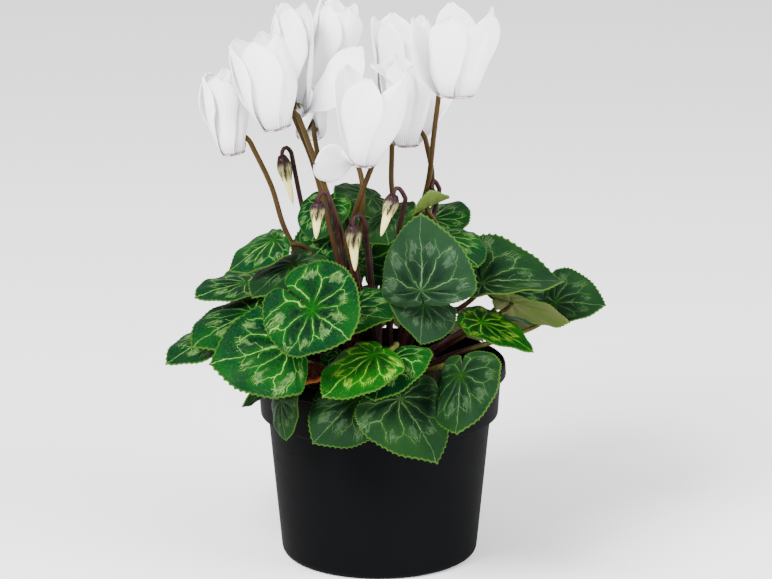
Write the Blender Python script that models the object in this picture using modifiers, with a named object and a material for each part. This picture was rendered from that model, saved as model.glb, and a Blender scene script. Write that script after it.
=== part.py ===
"""A white florist's cyclamen in a 12 cm nursery pot.

The pot, the soil, the tuber with every stalk, and each leaf, flower and bud are separate closed solids.
Sizes and places are in millimetres and degrees, and MM turns them into metres. The pot stands on
z = 0 with its axis on z, and the side that the camera sees is -y.
"""

import math
from typing import NamedTuple

import bmesh
import bpy
import numpy as np
from mathutils import Matrix, Vector
from mathutils.bvhtree import BVHTree
from mathutils.geometry import delaunay_2d_cdt

MM = 0.001

# Pot
POT_HEIGHT = 94.0
RIM_RADIUS = 60.0
LIP_HEIGHT = 6.5
LIP_ROUND = 2.0
LIP_WIDTH = 4.0
COLLAR_RADIUS = 57.5
COLLAR_TAPER = 1.2
COLLAR_BOTTOM = 69.0
STEP_HEIGHT = 1.5
BODY_RADIUS = 52.7
BASE_RADIUS = 46.2
BASE_ROUND = 2.0
WALL = 1.5
POT_FLOOR = 2.0
POT_STEPS = 32
DRAIN_HOLES = 6
DRAIN_RADIUS = 4.0
DRAIN_CIRCLE = 36.0
DRAIN_SIDES = 8

# Soil
SOIL_TOP = 82.0
SOIL_BUMP = 1.2
FIT_GAP = 0.3
SOIL_STEPS = 20

# Tuber
TUBER_RADIUS = 21.0
TUBER_HALF_HEIGHT = 10.5
TUBER_MIDDLE = 80.5
TUBER_POCKET_GAP = 0.7
TUBER_RINGS = 6
TUBER_SIDES = 16
CROWN_HEIGHT = 86.0

# Leaf blades
BLADE = 0.8
TEETH = 14
TOOTH_DEPTH = 0.022
LEAF_WAVES = 3
HALF_OUTLINE = ((0, 0.66), (9, 0.615), (22, 0.57), (42, 0.53), (65, 0.50), (92, 0.485), (122, 0.49),
                (146, 0.49), (161, 0.46), (170, 0.37), (176, 0.20), (180, 0.07))
INNER_SPOTS = ((0, 0.0), (0, 0.5), (42, 0.55), (-42, 0.55), (96, 0.55), (-96, 0.55))
WITHERED = 41

# Leaf stalks: where they leave the crown, how they rise, and how they come in under the blade
LEAF_STALK_RADIUS = 1.15
LEAF_STALK_TAPER = (1.25, 0.9)
LEAF_STALK_STEPS = 4
LEAF_NECK = 1.6
ROOT_NEAR = 4.0
ROOT_FAR = 14.0
ROOT_SPREAD = 0.14
LEAST_RISE = 10.0
RISE_SHARE = 0.45
HANDLE_SHARE = 0.3
LATE_SWAY = 0.6
LATE_LIFT = 0.5
ARRIVE_TILT = 20.0
ARRIVE_TILT_PER_PITCH = 1.2
ARRIVE_TILT_MOST = 65.0

# Flowers
PETAL = 0.8
PETAL_WIDTH = ((0.0, 0.28), (0.15, 0.32), (0.36, 0.68), (0.62, 1.0), (0.80, 0.84), (0.92, 0.50), (1.0, 0.16))
PETAL_BASE_TURN = 45.0
PETAL_BENDS = ((0.08, 10.0), (0.25, 6.0), (0.65, -2.0), (1.0, -10.0))
PETAL_TURNS = (51.0, 115.0, 180.0, 245.0, 309.0)
# A petal's own lean, turn, share of the length, curl at the tip and roll
PLAIN_PETAL = (0.0, 0.0, 1.0, 0.0, 0.0)
ROLL_START = 0.3
PETAL_ROOT = 0.5
SPINE_STEPS = 40
PETAL_ROWS = (0.0, 0.18, 0.42, 0.74, 1.0)
PETAL_COLUMNS = (-1.0, 0.0, 1.0)
SHUTTER = 0.18
PETAL_TWIST = 30.0
TUBE_HEIGHT = 5.5
MOUTH_LIP = 1.4
MOUTH_SIDES = 8

# Flower stalks: the hook is a list of (out, up) from the tube's top, for a mouth of HOOK_MOUTH
FLOWER_STALK_RADIUS = 1.2
FLOWER_STALK_TAPER = (1.15, 0.9)
FLOWER_STALK_STEPS = 7
HOOK = ((10.4, -4.0), (9.2, -0.4), (6.8, 2.4), (3.4, 3.9), (0.8, 3.4), (0.0, 2.0), (0.0, 0.3))
HOOK_MOUTH = 6.0
CALYX_RADIUS = 2.8

# Buds: rings of (share of the length, share of the radius), and the arch of the stalk over the top
BUD_RINGS = ((0.42, 0.62), (0.55, 0.60), (0.75, 0.44), (1.0, 0.10))
BUD_SIDES = 10
BUD_GROOVE = 0.84
BUD_TWIST = 1.6
BUD_STALK_RADIUS = 1.15
BUD_STALK_TAPER = (1.15, 0.85)
BUD_STALK_STEPS = 5
BUD_ARCH = ((0.1, 2.6), (0.5, 4.4), (0.9, 2.8))
CALYX_SHARES = (0.03, 0.16, 0.40)

# How the stalks find their way: the bends that are tried, and the gap that they keep
STALK_GAP = 0.4
WIDEST_LOOK = 3.0
LOOK_STEP = 1.2
OWN_STEPS = 3
LEAF_SWAYS = range(-40, 41, 5)
LEAF_LIFTS = range(-18, 37, 6)
FLOWER_SWAYS = range(-20, 21, 5)
HOOK_TURNS = range(-9, 10, 3)


class Leaf(NamedTuple):
    """A blade: where its stalk meets it, which way its tip points, its length and how it is bent."""

    x: float
    y: float
    z: float
    aim: float
    pitch: float
    roll: float
    size: float
    left: float = 30.0
    right: float = 30.0
    droop: float = 25.0
    tuck: float = 25.0
    wave: float = 0.02
    phase: float = 0.0
    lobes: float = 1.0


class Flower(NamedTuple):
    """A nodding flower: its mouth, how its axis leans, which side its stalk hooks over, and its petals."""

    mouth: tuple
    radius: float
    lean: float
    lean_aim: float
    side: float
    length: float
    width: float
    flare: float
    route: tuple
    special: dict = {}


class Bud(NamedTuple):
    """A hanging bud: where its calyx starts, where its tip ends, its radius and its stalk's route."""

    top: tuple
    tip: tuple
    radius: float
    route: tuple


LEAVES = (
    # Left front, from the rim up
    Leaf(-44.9, -54.5, 90.0, -80, -70, 70, 28, 30, 30, 15, 40, lobes=0.4),
    Leaf(-52.0, -46.0, 95.0, -135, -34, -122, 24, 30, 30, 20, 40, lobes=0.3),
    Leaf(-41.3, -57.0, 116.5, -175, -7, -34, 56, 36, -13, 23, 60, lobes=0.3),
    Leaf(-59.0, -30.0, 125.5, -155, -17, -6, 50, 50, 20, 20, 20, lobes=0.6),
    Leaf(-72.0, -19.0, 113.0, -158, -16, -2, 48, 0, 30, 20, 30, lobes=0.8),
    Leaf(-63.0, -7.5, 133.5, -153, -4, -2, 39, 12, 5, 15, 10, lobes=0.6),
    Leaf(-53.0, 18.5, 131.0, -160, 7, -8, 34, 30, 25, 25, 30, lobes=0.7),
    Leaf(-29.5, -74.5, 138.0, -60, -9, 46, 48, -27, 6, 13, -28, lobes=1.3),
    Leaf(-48.5, -28.0, 159.0, -168, -26, -6, 38, 37, 22, 22, 29, lobes=0.35),
    Leaf(-40.0, -36.0, 149.5, -142, -21, 3, 39, 35, 26, 20, 39, lobes=0.8),
    Leaf(-25.9, 6.3, 167.0, -120, -45, 0, 28, 25, 25, 20, 30, lobes=0.7),
    # Front middle
    Leaf(-22.3, 8.0, 151.4, -118, -14, -20, 30, 25, 25, 20, 30),
    Leaf(-16.5, -34.0, 127.0, -46, 6, 22, 46, 24, 25, 13, 30, lobes=0.5),
    Leaf(-3.0, -74.0, 117.0, -149, -28, -5, 46, 28, 36, 13, 44, lobes=0.35),
    Leaf(5.5, -68.0, 113.5, -109, -25, 12, 41, 20, 20, 13, 31, lobes=0.55),
    Leaf(-18.0, -39.0, 106.7, -80, -26, 0, 19, 25, 25, 20, 30, lobes=0.6),
    Leaf(-10.5, -68.0, 94.2, -158, -38, -28, 42, 60, 20, 10, 50, lobes=0.6),
    Leaf(10.2, -75.5, 96.7, -36, -50, 15, 50, 40, 60, 10, 30, lobes=0.5),
    Leaf(3.2, -5.0, 165.1, -91, -22, 30, 31, 25, 25, 20, 30, lobes=0.5),
    Leaf(-3.5, 23.5, 167.5, -133, 7, -23, 35, 31, 26, 19, 30, lobes=0.55),
    # Right front, from the rim up
    Leaf(36.5, -78.5, 108.5, -97, -49, 30, 43, 25, 95, 5, 30, lobes=0.6),
    Leaf(48.1, -27.5, 119.5, -20, -20, 6, 41, 30, -30, 17, -60, lobes=0.6),
    Leaf(19.4, -60.3, 143.3, 99, 75, -39, 53, 66, 33, 5, 100, lobes=0.3),
    Leaf(20.2, -40.0, 131.8, -91, -35, -22, 34, 10, 0, 15, 60, lobes=0.5),
    Leaf(48.0, -20.5, 137.0, 2, 5, 17, 57, -90, -90, 15, 20, lobes=0.5),
    Leaf(83.5, 18.0, 117.5, -21, 5, 35, 38, -50, -67, 14, 20, lobes=0.4),
    Leaf(62.0, -8.0, 124.5, -14, -12, -32, 44, 15, 15, 15, 20, lobes=0.5),
    Leaf(29.5, -15.0, 157.0, -50, -16, 0, 40, 20, 20, 15, 20, lobes=0.5),
    Leaf(21.5, -20.0, 173.0, -66, 9, 17, 23, 8, 8, -119, -30, lobes=0.5),
    # The far side, outer ring and upper ring
    Leaf(60.5, 31.0, 121.0, 28, -4, 10, 40, lobes=0.7),
    Leaf(50.0, 47.0, 106.0, 44, -18, -6, 54),
    Leaf(26.0, 64.0, 97.0, 70, -28, 5, 54),
    Leaf(-1.0, 63.0, 109.0, 93, -38, -8, 50),
    Leaf(-36.5, 61.0, 96.0, 127, -28, 6, 42),
    Leaf(-52.0, 45.0, 114.0, 142, -18, -5, 54),
    Leaf(-66.0, 22.0, 104.0, 165, -24, 8, 54),
    Leaf(38.0, 22.0, 144.0, 28, -10, 5, 46, lobes=0.6),
    Leaf(25.0, 28.0, 156.0, 58, 18, 0, 36, lobes=0.6),
    Leaf(-8.0, 44.0, 131.0, 98, 60, 0, 46, lobes=0.6),
    Leaf(-22.0, 26.0, 136.0, 104, 55, 0, 42, lobes=0.6),
    # Withered, behind the front leaves
    Leaf(-30.7, -50.0, 105.5, -107, -7, 0, 18, 90, 90, 90, 30, lobes=0.4),
)

FLOWERS = (
    Flower((-67.6, 6.0, 192.2), 5.4, 11, 178, -12, 39, 22, 2,
           ((-52.0, 4, 182.5), (-45.0, -2, 160.0), (-7, -2, 87))),
    Flower((-46.5, -18.0, 209.1), 6.3, 14, 180, -5, 44, 26, 7,
           ((-26.3, -20, 185.5), (-12.6, -24, 147.6), (-4, -8, 87))),
    Flower((-40.1, 6.0, 210.2), 6.0, 1, 0, -86, 52, 25, 1,
           ((-30.5, 0, 187.6), (-20.3, -8, 148.9), (-6, -5, 87)), {0: (39, 12, 0.8, 0, 60)}),
    Flower((-26.3, 30.0, 216.9), 6.0, 10, 0, -40, 43, 26, 3,
           ((-14.0, 14, 198.0), (-9.3, -5, 184.4), (-6.1, -14, 172.2), (0, -3, 87))),
    Flower((-33.3, 44.0, 191.3), 5.8, 3, 90, -75, 30, 16, 2,
           ((-27.3, 31, 176.2), (-18.5, 29, 145.2), (-4, 5, 87))),
    Flower((-7.8, -28.0, 193.9), 5.3, 6, 0, 55, 45, 24, 14,
           ((-10.2, -20, 172.7), (-12.7, -12, 154.7), (-1, -5, 87)), {1: (76, 7, 0.42, 0, 60)}),
    Flower((13.3, 6.0, 196.1), 5.8, 2, 180, -30, 42, 25, 5,
           ((22.8, 2, 188.0), (24.5, 7, 174.0), (6, 2, 87)), {0: (36, 0, 0.8, 0, 0), 2: (-6, 0, 1, 80, 0)}),
    Flower((9.0, 36.0, 208.8), 6.0, 2, 0, -100, 43, 25, 8,
           ((6.0, 28, 190.0), (5.9, 25, 168.5), (2, 6, 87))),
    Flower((34.9, -20.0, 224.9), 8.6, 0, 0, 118, 41, 24, 13,
           ((23.6, -6, 190.6), (20.7, 0, 171.0), (4, -2, 87)), {0: (8, 16, 1, 0, -35), 3: (0, -10, 1, 0, 0)}),
)

BUDS = (
    Bud((-45.9, 14.0, 189.8), (-40.7, 14.0, 166.2), 3.4,
        ((-41.0, 18, 187.5), (-38.0, 19, 169.6), (-30, 18, 140), (-9, 0, 87))),
    Bud((-27.9, -34.0, 178.6), (-29.0, -34.0, 160.9), 3.6,
        ((-22.7, -32, 177.9), (-18.6, -26, 160.2), (-15, -18, 135), (-6, -8, 87))),
    Bud((-11.9, -38.0, 168.9), (-11.1, -38.0, 146.8), 3.9,
        ((-6.4, -34, 167.1), (-4.3, -14, 134.4), (-1, -6, 87))),
    Bud((6.7, -36.0, 182.4), (0.8, -38.0, 163.3), 3.7,
        ((11.8, -33, 178.1), (8.2, -27, 160.7), (5, -18, 125), (3, -7, 87))),
    Bud((24.1, -2.0, 177.6), (23.6, -3.0, 168.4), 2.4,
        ((27.8, 2, 174.6), (22, 1, 150), (5, -4, 87))),
)


def clear_scene():
    for thing in list(bpy.data.objects):
        bpy.data.objects.remove(thing, do_unlink=True)


def new_collection(name):
    made = bpy.data.collections.new(name)
    bpy.context.scene.collection.children.link(made)
    return made


def finish(name, colour, roughness, metallic=0.0):
    """A Principled material with the sub-part's own colour."""
    made = bpy.data.materials.get(name)
    if made:
        return made
    made = bpy.data.materials.new(name)
    made.use_nodes = True
    shader = made.node_tree.nodes["Principled BSDF"]
    shader.inputs["Base Color"].default_value = (*colour, 1.0)
    shader.inputs["Roughness"].default_value = roughness
    shader.inputs["Metallic"].default_value = metallic
    return made


def put(name, mesh, group, material, sharp=40.0):
    made = bpy.data.objects.new(name, mesh)
    mesh.materials.clear()
    mesh.materials.append(material)
    mesh.shade_smooth()
    mesh.set_sharp_from_angle(angle=math.radians(sharp))
    group.objects.link(made)
    return made


def mesh_of(name, points, faces):
    made = bpy.data.meshes.new(name)
    made.from_pydata([tuple(MM * c for c in p) for p in points], [], faces)
    return made


def turned(name, profile, steps, group, material):
    """A profile of (radius, height) points, turned about z. Its outer side runs from top to bottom."""
    mesh = bpy.data.meshes.new(name)
    points = [(MM * r, 0.0, MM * z) for r, z in profile]
    mesh.from_pydata(points, [(i, i + 1) for i in range(len(points) - 1)], [])
    made = put(name, mesh, group, material)
    screw = made.modifiers.new("turn", "SCREW")
    screw.steps = screw.render_steps = steps
    screw.use_merge_vertices = True
    screw.merge_threshold = 0.0001
    return made


def apply_modifiers(thing):
    """Replaces the object's mesh with the one that its modifiers make."""
    bpy.context.view_layer.update()
    graph = bpy.context.evaluated_depsgraph_get()
    made = bpy.data.meshes.new_from_object(thing.evaluated_get(graph))
    thing.modifiers.clear()
    thing.data = made
    return thing


def join_all(thing, pieces, group):
    """One Boolean union of the object and the pieces, which are then removed."""
    joining = new_collection("joining")
    for piece in pieces:
        group.objects.unlink(piece)
        joining.objects.link(piece)
    union = thing.modifiers.new("join", "BOOLEAN")
    union.operation = "UNION"
    union.operand_type = "COLLECTION"
    union.collection = joining
    union.solver = "EXACT"
    apply_modifiers(thing)
    for piece in pieces:
        bpy.data.objects.remove(piece, do_unlink=True)
    bpy.data.collections.remove(joining)
    return thing


def keep_largest_shell(thing):
    """Fills the small closed hollows that a union leaves between its pieces, by removing their walls."""
    work = bmesh.new()
    work.from_mesh(thing.data)
    left, shells = set(work.verts), []
    while left:
        shell, growing = set(), [left.pop()]
        while growing:
            vertex = growing.pop()
            shell.add(vertex)
            fresh = {edge.other_vert(vertex) for edge in vertex.link_edges} & left
            left -= fresh
            growing += fresh
        shells.append(shell)
    largest = max(shells, key=len)
    bmesh.ops.delete(work, geom=[v for v in work.verts if v not in largest], context="VERTS")
    work.to_mesh(thing.data)
    work.free()
    return thing


def smooth_route(points, count):
    """Catmull-Rom through the points, read at evenly spaced places along its length."""
    ends = [2 * points[0] - points[1], *points, 2 * points[-1] - points[-2]]
    fine = []
    for a, b, c, d in zip(ends, ends[1:], ends[2:], ends[3:]):
        for t in np.linspace(0.0, 1.0, 12, endpoint=False):
            fine.append(0.5 * (2 * b + (c - a) * t + (2 * a - 5 * b + 4 * c - d) * t**2
                               + (3 * b - a - 3 * c + d) * t**3))
    fine.append(points[-1])
    fine = np.array(fine)
    along = np.concatenate([[0.0], np.cumsum(np.linalg.norm(np.diff(fine, axis=0), axis=1))])
    places = np.linspace(0.0, along[-1], count)
    return np.stack([np.interp(places, along, fine[:, k]) for k in range(3)], axis=1)


def tube(name, points, radii, group, material):
    """A round rod along the points, as a closed mesh."""
    curve = bpy.data.curves.new(name, "CURVE")
    curve.dimensions = "3D"
    curve.bevel_depth = MM
    curve.bevel_resolution = 1
    curve.use_fill_caps = True
    line = curve.splines.new("POLY")
    line.points.add(len(points) - 1)
    for place, point, radius in zip(line.points, points, radii):
        place.co = (*(MM * float(c) for c in point), 1.0)
        place.radius = radius
    guide = bpy.data.objects.new(name + "_guide", curve)
    group.objects.link(guide)
    bpy.context.view_layer.update()
    graph = bpy.context.evaluated_depsgraph_get()
    mesh = bpy.data.meshes.new_from_object(guide.evaluated_get(graph))
    work = bmesh.new()
    work.from_mesh(mesh)
    bmesh.ops.remove_doubles(work, verts=work.verts, dist=1e-6)
    bmesh.ops.recalc_face_normals(work, faces=work.faces)
    work.to_mesh(mesh)
    work.free()
    made = put(name, mesh, group, material)
    made.matrix_world = guide.matrix_world
    bpy.data.objects.remove(guide, do_unlink=True)
    return made


# Pot and soil


def pot_profile():
    lip_bottom = POT_HEIGHT - LIP_HEIGHT
    step = COLLAR_BOTTOM - STEP_HEIGHT
    shoulder = COLLAR_RADIUS - COLLAR_TAPER
    inner = [
        (0.0, POT_FLOOR),
        (BASE_RADIUS - WALL + 0.1, POT_FLOOR),
        (BODY_RADIUS - WALL - 0.1, step - 1.5),
        (shoulder - WALL, COLLAR_BOTTOM),
        (COLLAR_RADIUS - WALL, lip_bottom),
        (RIM_RADIUS - LIP_WIDTH, POT_HEIGHT - 1.0),
    ]
    lip = [
        (RIM_RADIUS - 3.2, POT_HEIGHT),
        (RIM_RADIUS - 0.6 * LIP_ROUND, POT_HEIGHT - 0.1),
        (RIM_RADIUS - 0.1, POT_HEIGHT - LIP_ROUND),
        (RIM_RADIUS, lip_bottom + 1.0),
        (RIM_RADIUS - 0.7, lip_bottom),
    ]
    outer = [
        (COLLAR_RADIUS, lip_bottom),
        (shoulder, COLLAR_BOTTOM),
        (BODY_RADIUS, step),
        (BASE_RADIUS + 0.3, BASE_ROUND),
        (BASE_RADIUS - BASE_ROUND, 0.0),
        (0.0, 0.0),
    ]
    return inner + lip + outer


def add_pot(group, helpers):
    black = finish("black_plastic", (0.012, 0.012, 0.013), 0.45)
    pot = turned("pot", pot_profile(), POT_STEPS, group, black)
    for i in range(DRAIN_HOLES):
        turn = 2 * math.pi * i / DRAIN_HOLES
        mesh = bpy.data.meshes.new("drain_cutter")
        work = bmesh.new()
        bmesh.ops.create_cone(work, cap_ends=True, segments=DRAIN_SIDES, radius1=MM * DRAIN_RADIUS,
                              radius2=MM * DRAIN_RADIUS, depth=MM * 4 * POT_FLOOR)
        work.to_mesh(mesh)
        work.free()
        cutter = bpy.data.objects.new(f"drain_cutter_{i + 1}", mesh)
        cutter.location = (MM * DRAIN_CIRCLE * math.cos(turn), MM * DRAIN_CIRCLE * math.sin(turn), 0.0)
        cutter.hide_render = True
        cutter.display_type = "WIRE"
        helpers.objects.link(cutter)
        cut = pot.modifiers.new(f"drain_{i + 1}", "BOOLEAN")
        cut.operation = "DIFFERENCE"
        cut.object = cutter
    return pot


def pocket_profile():
    """The hollow in the soil that the tuber sits in, from its lowest point up to the surface."""
    wide = TUBER_RADIUS + TUBER_POCKET_GAP
    tall = TUBER_HALF_HEIGHT + TUBER_POCKET_GAP
    turns = np.radians((0, 30, 60, 90))
    bowl = [(wide * math.sin(a), TUBER_MIDDLE - tall * math.cos(a)) for a in turns]
    return bowl + [(wide + 0.2, SOIL_TOP)]


def soil_profile():
    shoulder = COLLAR_RADIUS - COLLAR_TAPER - WALL
    clear = 2 * FIT_GAP
    rim = COLLAR_RADIUS - WALL - clear - 1.0
    surface = [(33.0, SOIL_TOP), (44.0, SOIL_TOP), (rim - 0.6, SOIL_TOP)]
    side = [
        (shoulder - clear, COLLAR_BOTTOM + 0.5),
        (BODY_RADIUS - WALL - 0.1 - clear, COLLAR_BOTTOM - STEP_HEIGHT - 1.5),
        (BASE_RADIUS - WALL + 0.1 - clear, POT_FLOOR + FIT_GAP),
        (0.0, POT_FLOOR + FIT_GAP),
    ]
    return pocket_profile() + surface + side


def bump(x, y):
    """How far the soil's surface stands above or below its level."""
    return SOIL_BUMP * (math.sin(0.31 * x + 0.9) * math.cos(0.27 * y) + 0.4 * math.sin(0.7 * y + 0.2 * x))


def add_soil(group):
    brown = finish("potting_soil", (0.025, 0.016, 0.010), 0.95)
    soil = turned("soil", soil_profile(), SOIL_STEPS, group, brown)
    apply_modifiers(soil)
    for vertex in soil.data.vertices:
        x, y, z = (c / MM for c in vertex.co)
        if z > SOIL_TOP - 0.1:
            vertex.co.z += MM * bump(x, y)
    return soil


# Leaf blades


def outline_radius(turn):
    """The blade's edge, as a share of its size, at an angle from the tip in degrees."""
    turn = abs((turn + 180.0) % 360.0 - 180.0)
    turns, shares = zip(*HALF_OUTLINE)
    return float(np.interp(turn, turns, shares))


def leaf_axes(leaf):
    """Across, along and up: the tip points along the aim and pitch, and the right side rolls down."""
    aim, pitch, roll = (math.radians(a) for a in (leaf.aim, leaf.pitch, leaf.roll))
    along = Vector((math.cos(pitch) * math.cos(aim), math.cos(pitch) * math.sin(aim), math.sin(pitch)))
    level = along.cross(Vector((0, 0, 1))).normalized()
    up = level.cross(along)
    across = math.cos(roll) * level - math.sin(roll) * up
    return across, along, across.cross(along)


def arc(length, curl, size):
    """A stretch bent down by an even curl: its reach and its drop."""
    turn = math.radians(curl) / size
    if abs(turn) < 1e-6:
        return length, 0.0
    return math.sin(turn * length) / turn, (1.0 - math.cos(turn * length)) / turn


def blade_point(leaf, x, y):
    """The place in space of a point of the flat blade, with the stalk at (0, 0) and the tip along y."""
    y *= leaf.lobes if y < 0 else 1.0
    reach, side_drop = arc(x, leaf.right if x > 0 else leaf.left, leaf.size)
    ahead, end_drop = arc(y, leaf.droop if y > 0 else leaf.tuck, leaf.size)
    share = math.hypot(x, y) / (0.5 * leaf.size)
    turn = LEAF_WAVES * math.atan2(x, y) + math.radians(leaf.phase)
    ripple = leaf.wave * leaf.size * share**2 * math.sin(turn)
    across, along, up = leaf_axes(leaf)
    return Vector(leaf[:3]) + reach * across + ahead * along + (ripple - side_drop - end_drop) * up


def blade_spot(leaf, turn, share):
    """A point of the flat blade, at an angle from the tip and a share of the way to the edge."""
    radius = share * leaf.size * outline_radius(turn)
    return Vector((radius * math.sin(math.radians(turn)), radius * math.cos(math.radians(turn))))


def blade_outline(leaf):
    """The toothed edge. It has no tooth at the tip or in the notch behind the stalk."""
    points = []
    for i in range(2 * TEETH):
        plain = i in (0, TEETH, 2 * TEETH - 1)
        tooth = 0.0 if plain else TOOTH_DEPTH * (1 if i % 2 else -1)
        points.append(blade_spot(leaf, -180.0 * i / TEETH, 1.0 + tooth))
    return points


def add_leaf(number, leaf, group):
    outline = blade_outline(leaf)
    inner = [blade_spot(leaf, turn, share) for turn, share in INNER_SPOTS]
    spots, _, faces, *_ = delaunay_2d_cdt(outline + inner, [], [list(range(len(outline)))], 1, 1e-5)
    points = [blade_point(leaf, *spot) for spot in spots]
    green = finish("leaf_green", (0.035, 0.13, 0.035), 0.42)
    brown = finish("leaf_withered", (0.10, 0.055, 0.025), 0.8)
    mesh = mesh_of(f"leaf_{number:02d}", points, faces)
    made = put(f"leaf_{number:02d}", mesh, group, brown if number == WITHERED else green)
    thick = made.modifiers.new("thickness", "SOLIDIFY")
    thick.thickness = MM * BLADE
    thick.offset = -1.0
    return apply_modifiers(made)


def leaf_stalk_route(leaf, sway, lift):
    """From the crown, up and out, to just under the blade, bent sideways by sway and upward by lift."""
    _, along, up = leaf_axes(leaf)
    out = Vector((leaf.x, leaf.y, 0.0))
    away = out.length
    out.normalize()
    sideways = Vector((-out.y, out.x, 0.0))
    tilt = min(ARRIVE_TILT_MOST, ARRIVE_TILT + ARRIVE_TILT_PER_PITCH * max(0.0, -leaf.pitch))
    tilt = math.radians(tilt)
    arrive = (math.cos(tilt) * up + math.sin(tilt) * along).normalized()
    end = Vector(leaf[:3]) - (BLADE + FIT_GAP) * up
    neck = end - LEAF_NECK * up
    root = out * min(ROOT_FAR, ROOT_NEAR + ROOT_SPREAD * away) + Vector((0, 0, CROWN_HEIGHT))
    rise = max(LEAST_RISE, RISE_SHARE * (leaf.z - CROWN_HEIGHT))
    first = root + HANDLE_SHARE * away * out + sway * sideways + Vector((0, 0, rise + lift))
    second = neck - HANDLE_SHARE * (neck - root).length * arrive
    second += LATE_SWAY * sway * sideways + Vector((0, 0, LATE_LIFT * lift))
    route = []
    for k in range(LEAF_STALK_STEPS + 1):
        t = k / LEAF_STALK_STEPS
        s = 1.0 - t
        route.append(s**3 * root + 3 * s * s * t * first + 3 * s * t * t * second + t**3 * neck)
    return route + [end]


# Flowers


def flower_frame(flower):
    """A matrix that takes the flower's own axis, from its mouth up to its stalk, to its place."""
    aim = math.radians(flower.lean_aim)
    tip = Matrix.Rotation(math.radians(flower.lean), 4, Vector((-math.sin(aim), math.cos(aim), 0.0)))
    return Matrix.Translation(Vector(flower.mouth)) @ tip


def petal_spine(flower, number):
    """Distances out and up of the petal's middle line, from the mouth's edge."""
    lean, _, stretch, curl, _ = flower.special.get(number, PLAIN_PETAL)
    step = flower.length * stretch / SPINE_STEPS
    places, bends = zip((0.0, 0.0), *PETAL_BENDS)
    turns = [PETAL_BASE_TURN] + [flower.flare + lean + bend for bend in bends[1:]]
    turns[-1] += curl
    out, high = [flower.radius - PETAL_ROOT], [PETAL_ROOT]
    for k in range(SPINE_STEPS):
        turn = math.radians(np.interp((k + 0.5) / SPINE_STEPS, places, turns))
        out.append(out[-1] + step * math.sin(turn))
        high.append(high[-1] + step * math.cos(turn))
    return np.array(out), np.array(high)


def petal_point(flower, number, spine, t, s):
    """A point t along the petal and s across it, from -1 to 1. Petals overlap like a shutter's blades."""
    places = np.linspace(0.0, 1.0, len(spine[0]))
    out, high = (float(np.interp(t, places, row)) for row in spine)
    half = 0.5 * flower.width * float(np.interp(t, *zip(*PETAL_WIDTH)))
    lean, *_, roll = flower.special.get(number, PLAIN_PETAL)
    roll = math.radians(roll) * min(1.0, t / ROLL_START)
    steep = math.radians(flower.flare + lean)
    wind = s * half * math.cos(roll) / out
    lift = s * half * math.sin(roll)
    radius = (out - lift * math.cos(steep)) * (1.0 + SHUTTER * wind)
    around = math.radians(petal_turn(flower, number) + PETAL_TWIST * t * t) + wind
    high += lift * math.sin(steep)
    return Vector((radius * math.cos(around), radius * math.sin(around), high))


def petal_turn(flower, number):
    """Compass turn of a petal about the flower's axis. The stalk passes between the first and the last."""
    return flower.side + PETAL_TURNS[number] + flower.special.get(number, PLAIN_PETAL)[1]


def add_petal(name, flower, number, group, material):
    spine = petal_spine(flower, number)
    frame = flower_frame(flower)
    spots = [(t, s) for t in PETAL_ROWS for s in PETAL_COLUMNS]
    points = [frame @ petal_point(flower, number, spine, t, s) for t, s in spots]
    wide = len(PETAL_COLUMNS)
    faces = []
    for row in range(len(PETAL_ROWS) - 1):
        for column in range(wide - 1):
            corner = row * wide + column
            faces += [(corner, corner + 1, corner + wide + 1), (corner, corner + wide + 1, corner + wide)]
    made = put(name, mesh_of(name, points, faces), group, material)
    thick = made.modifiers.new("thickness", "SOLIDIFY")
    thick.thickness = MM * PETAL
    thick.offset = 0.0
    return apply_modifiers(made)


def add_flower(number, flower, group):
    white = finish("petal_white", (0.86, 0.86, 0.88), 0.5)
    name = f"flower_{number:02d}"
    profile = [
        (0.0, TUBE_HEIGHT),
        (0.8 * flower.radius, 0.75 * TUBE_HEIGHT),
        (flower.radius, 0.0),
        (flower.radius - MOUTH_LIP, 0.0),
        (0.0, 0.6 * TUBE_HEIGHT),
    ]
    mouth = turned(name, profile, MOUTH_SIDES, group, white)
    apply_modifiers(mouth)
    mouth.data.transform(Matrix.Scale(MM, 4) @ flower_frame(flower) @ Matrix.Scale(1 / MM, 4))
    numbers = range(len(PETAL_TURNS))
    petals = [add_petal(f"{name}_petal_{i + 1}", flower, i, group, white) for i in numbers]
    return join_all(mouth, petals, group)


def flower_stalk_route(flower, sway_x, sway_y, turn):
    """From the crown along the route, up beside the mouth and over, down onto the flower's tube."""
    frame = flower_frame(flower)
    side = math.radians(flower.side + turn)
    wide = flower.radius / HOOK_MOUTH
    hook = []
    for out, high in HOOK:
        reach = wide * out
        hook.append(frame @ Vector((reach * math.cos(side), reach * math.sin(side), TUBE_HEIGHT + high)))
    return rod_route(climb(flower.route, sway_x, sway_y) + hook[:1], FLOWER_STALK_STEPS) + hook[1:]


# Buds


def bud_line(bud):
    """Where the bud's calyx starts, the way down to its tip, and how far that is."""
    top = Vector(bud.top)
    down = Vector(bud.tip) - top
    return top, down.normalized(), down.length


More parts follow.
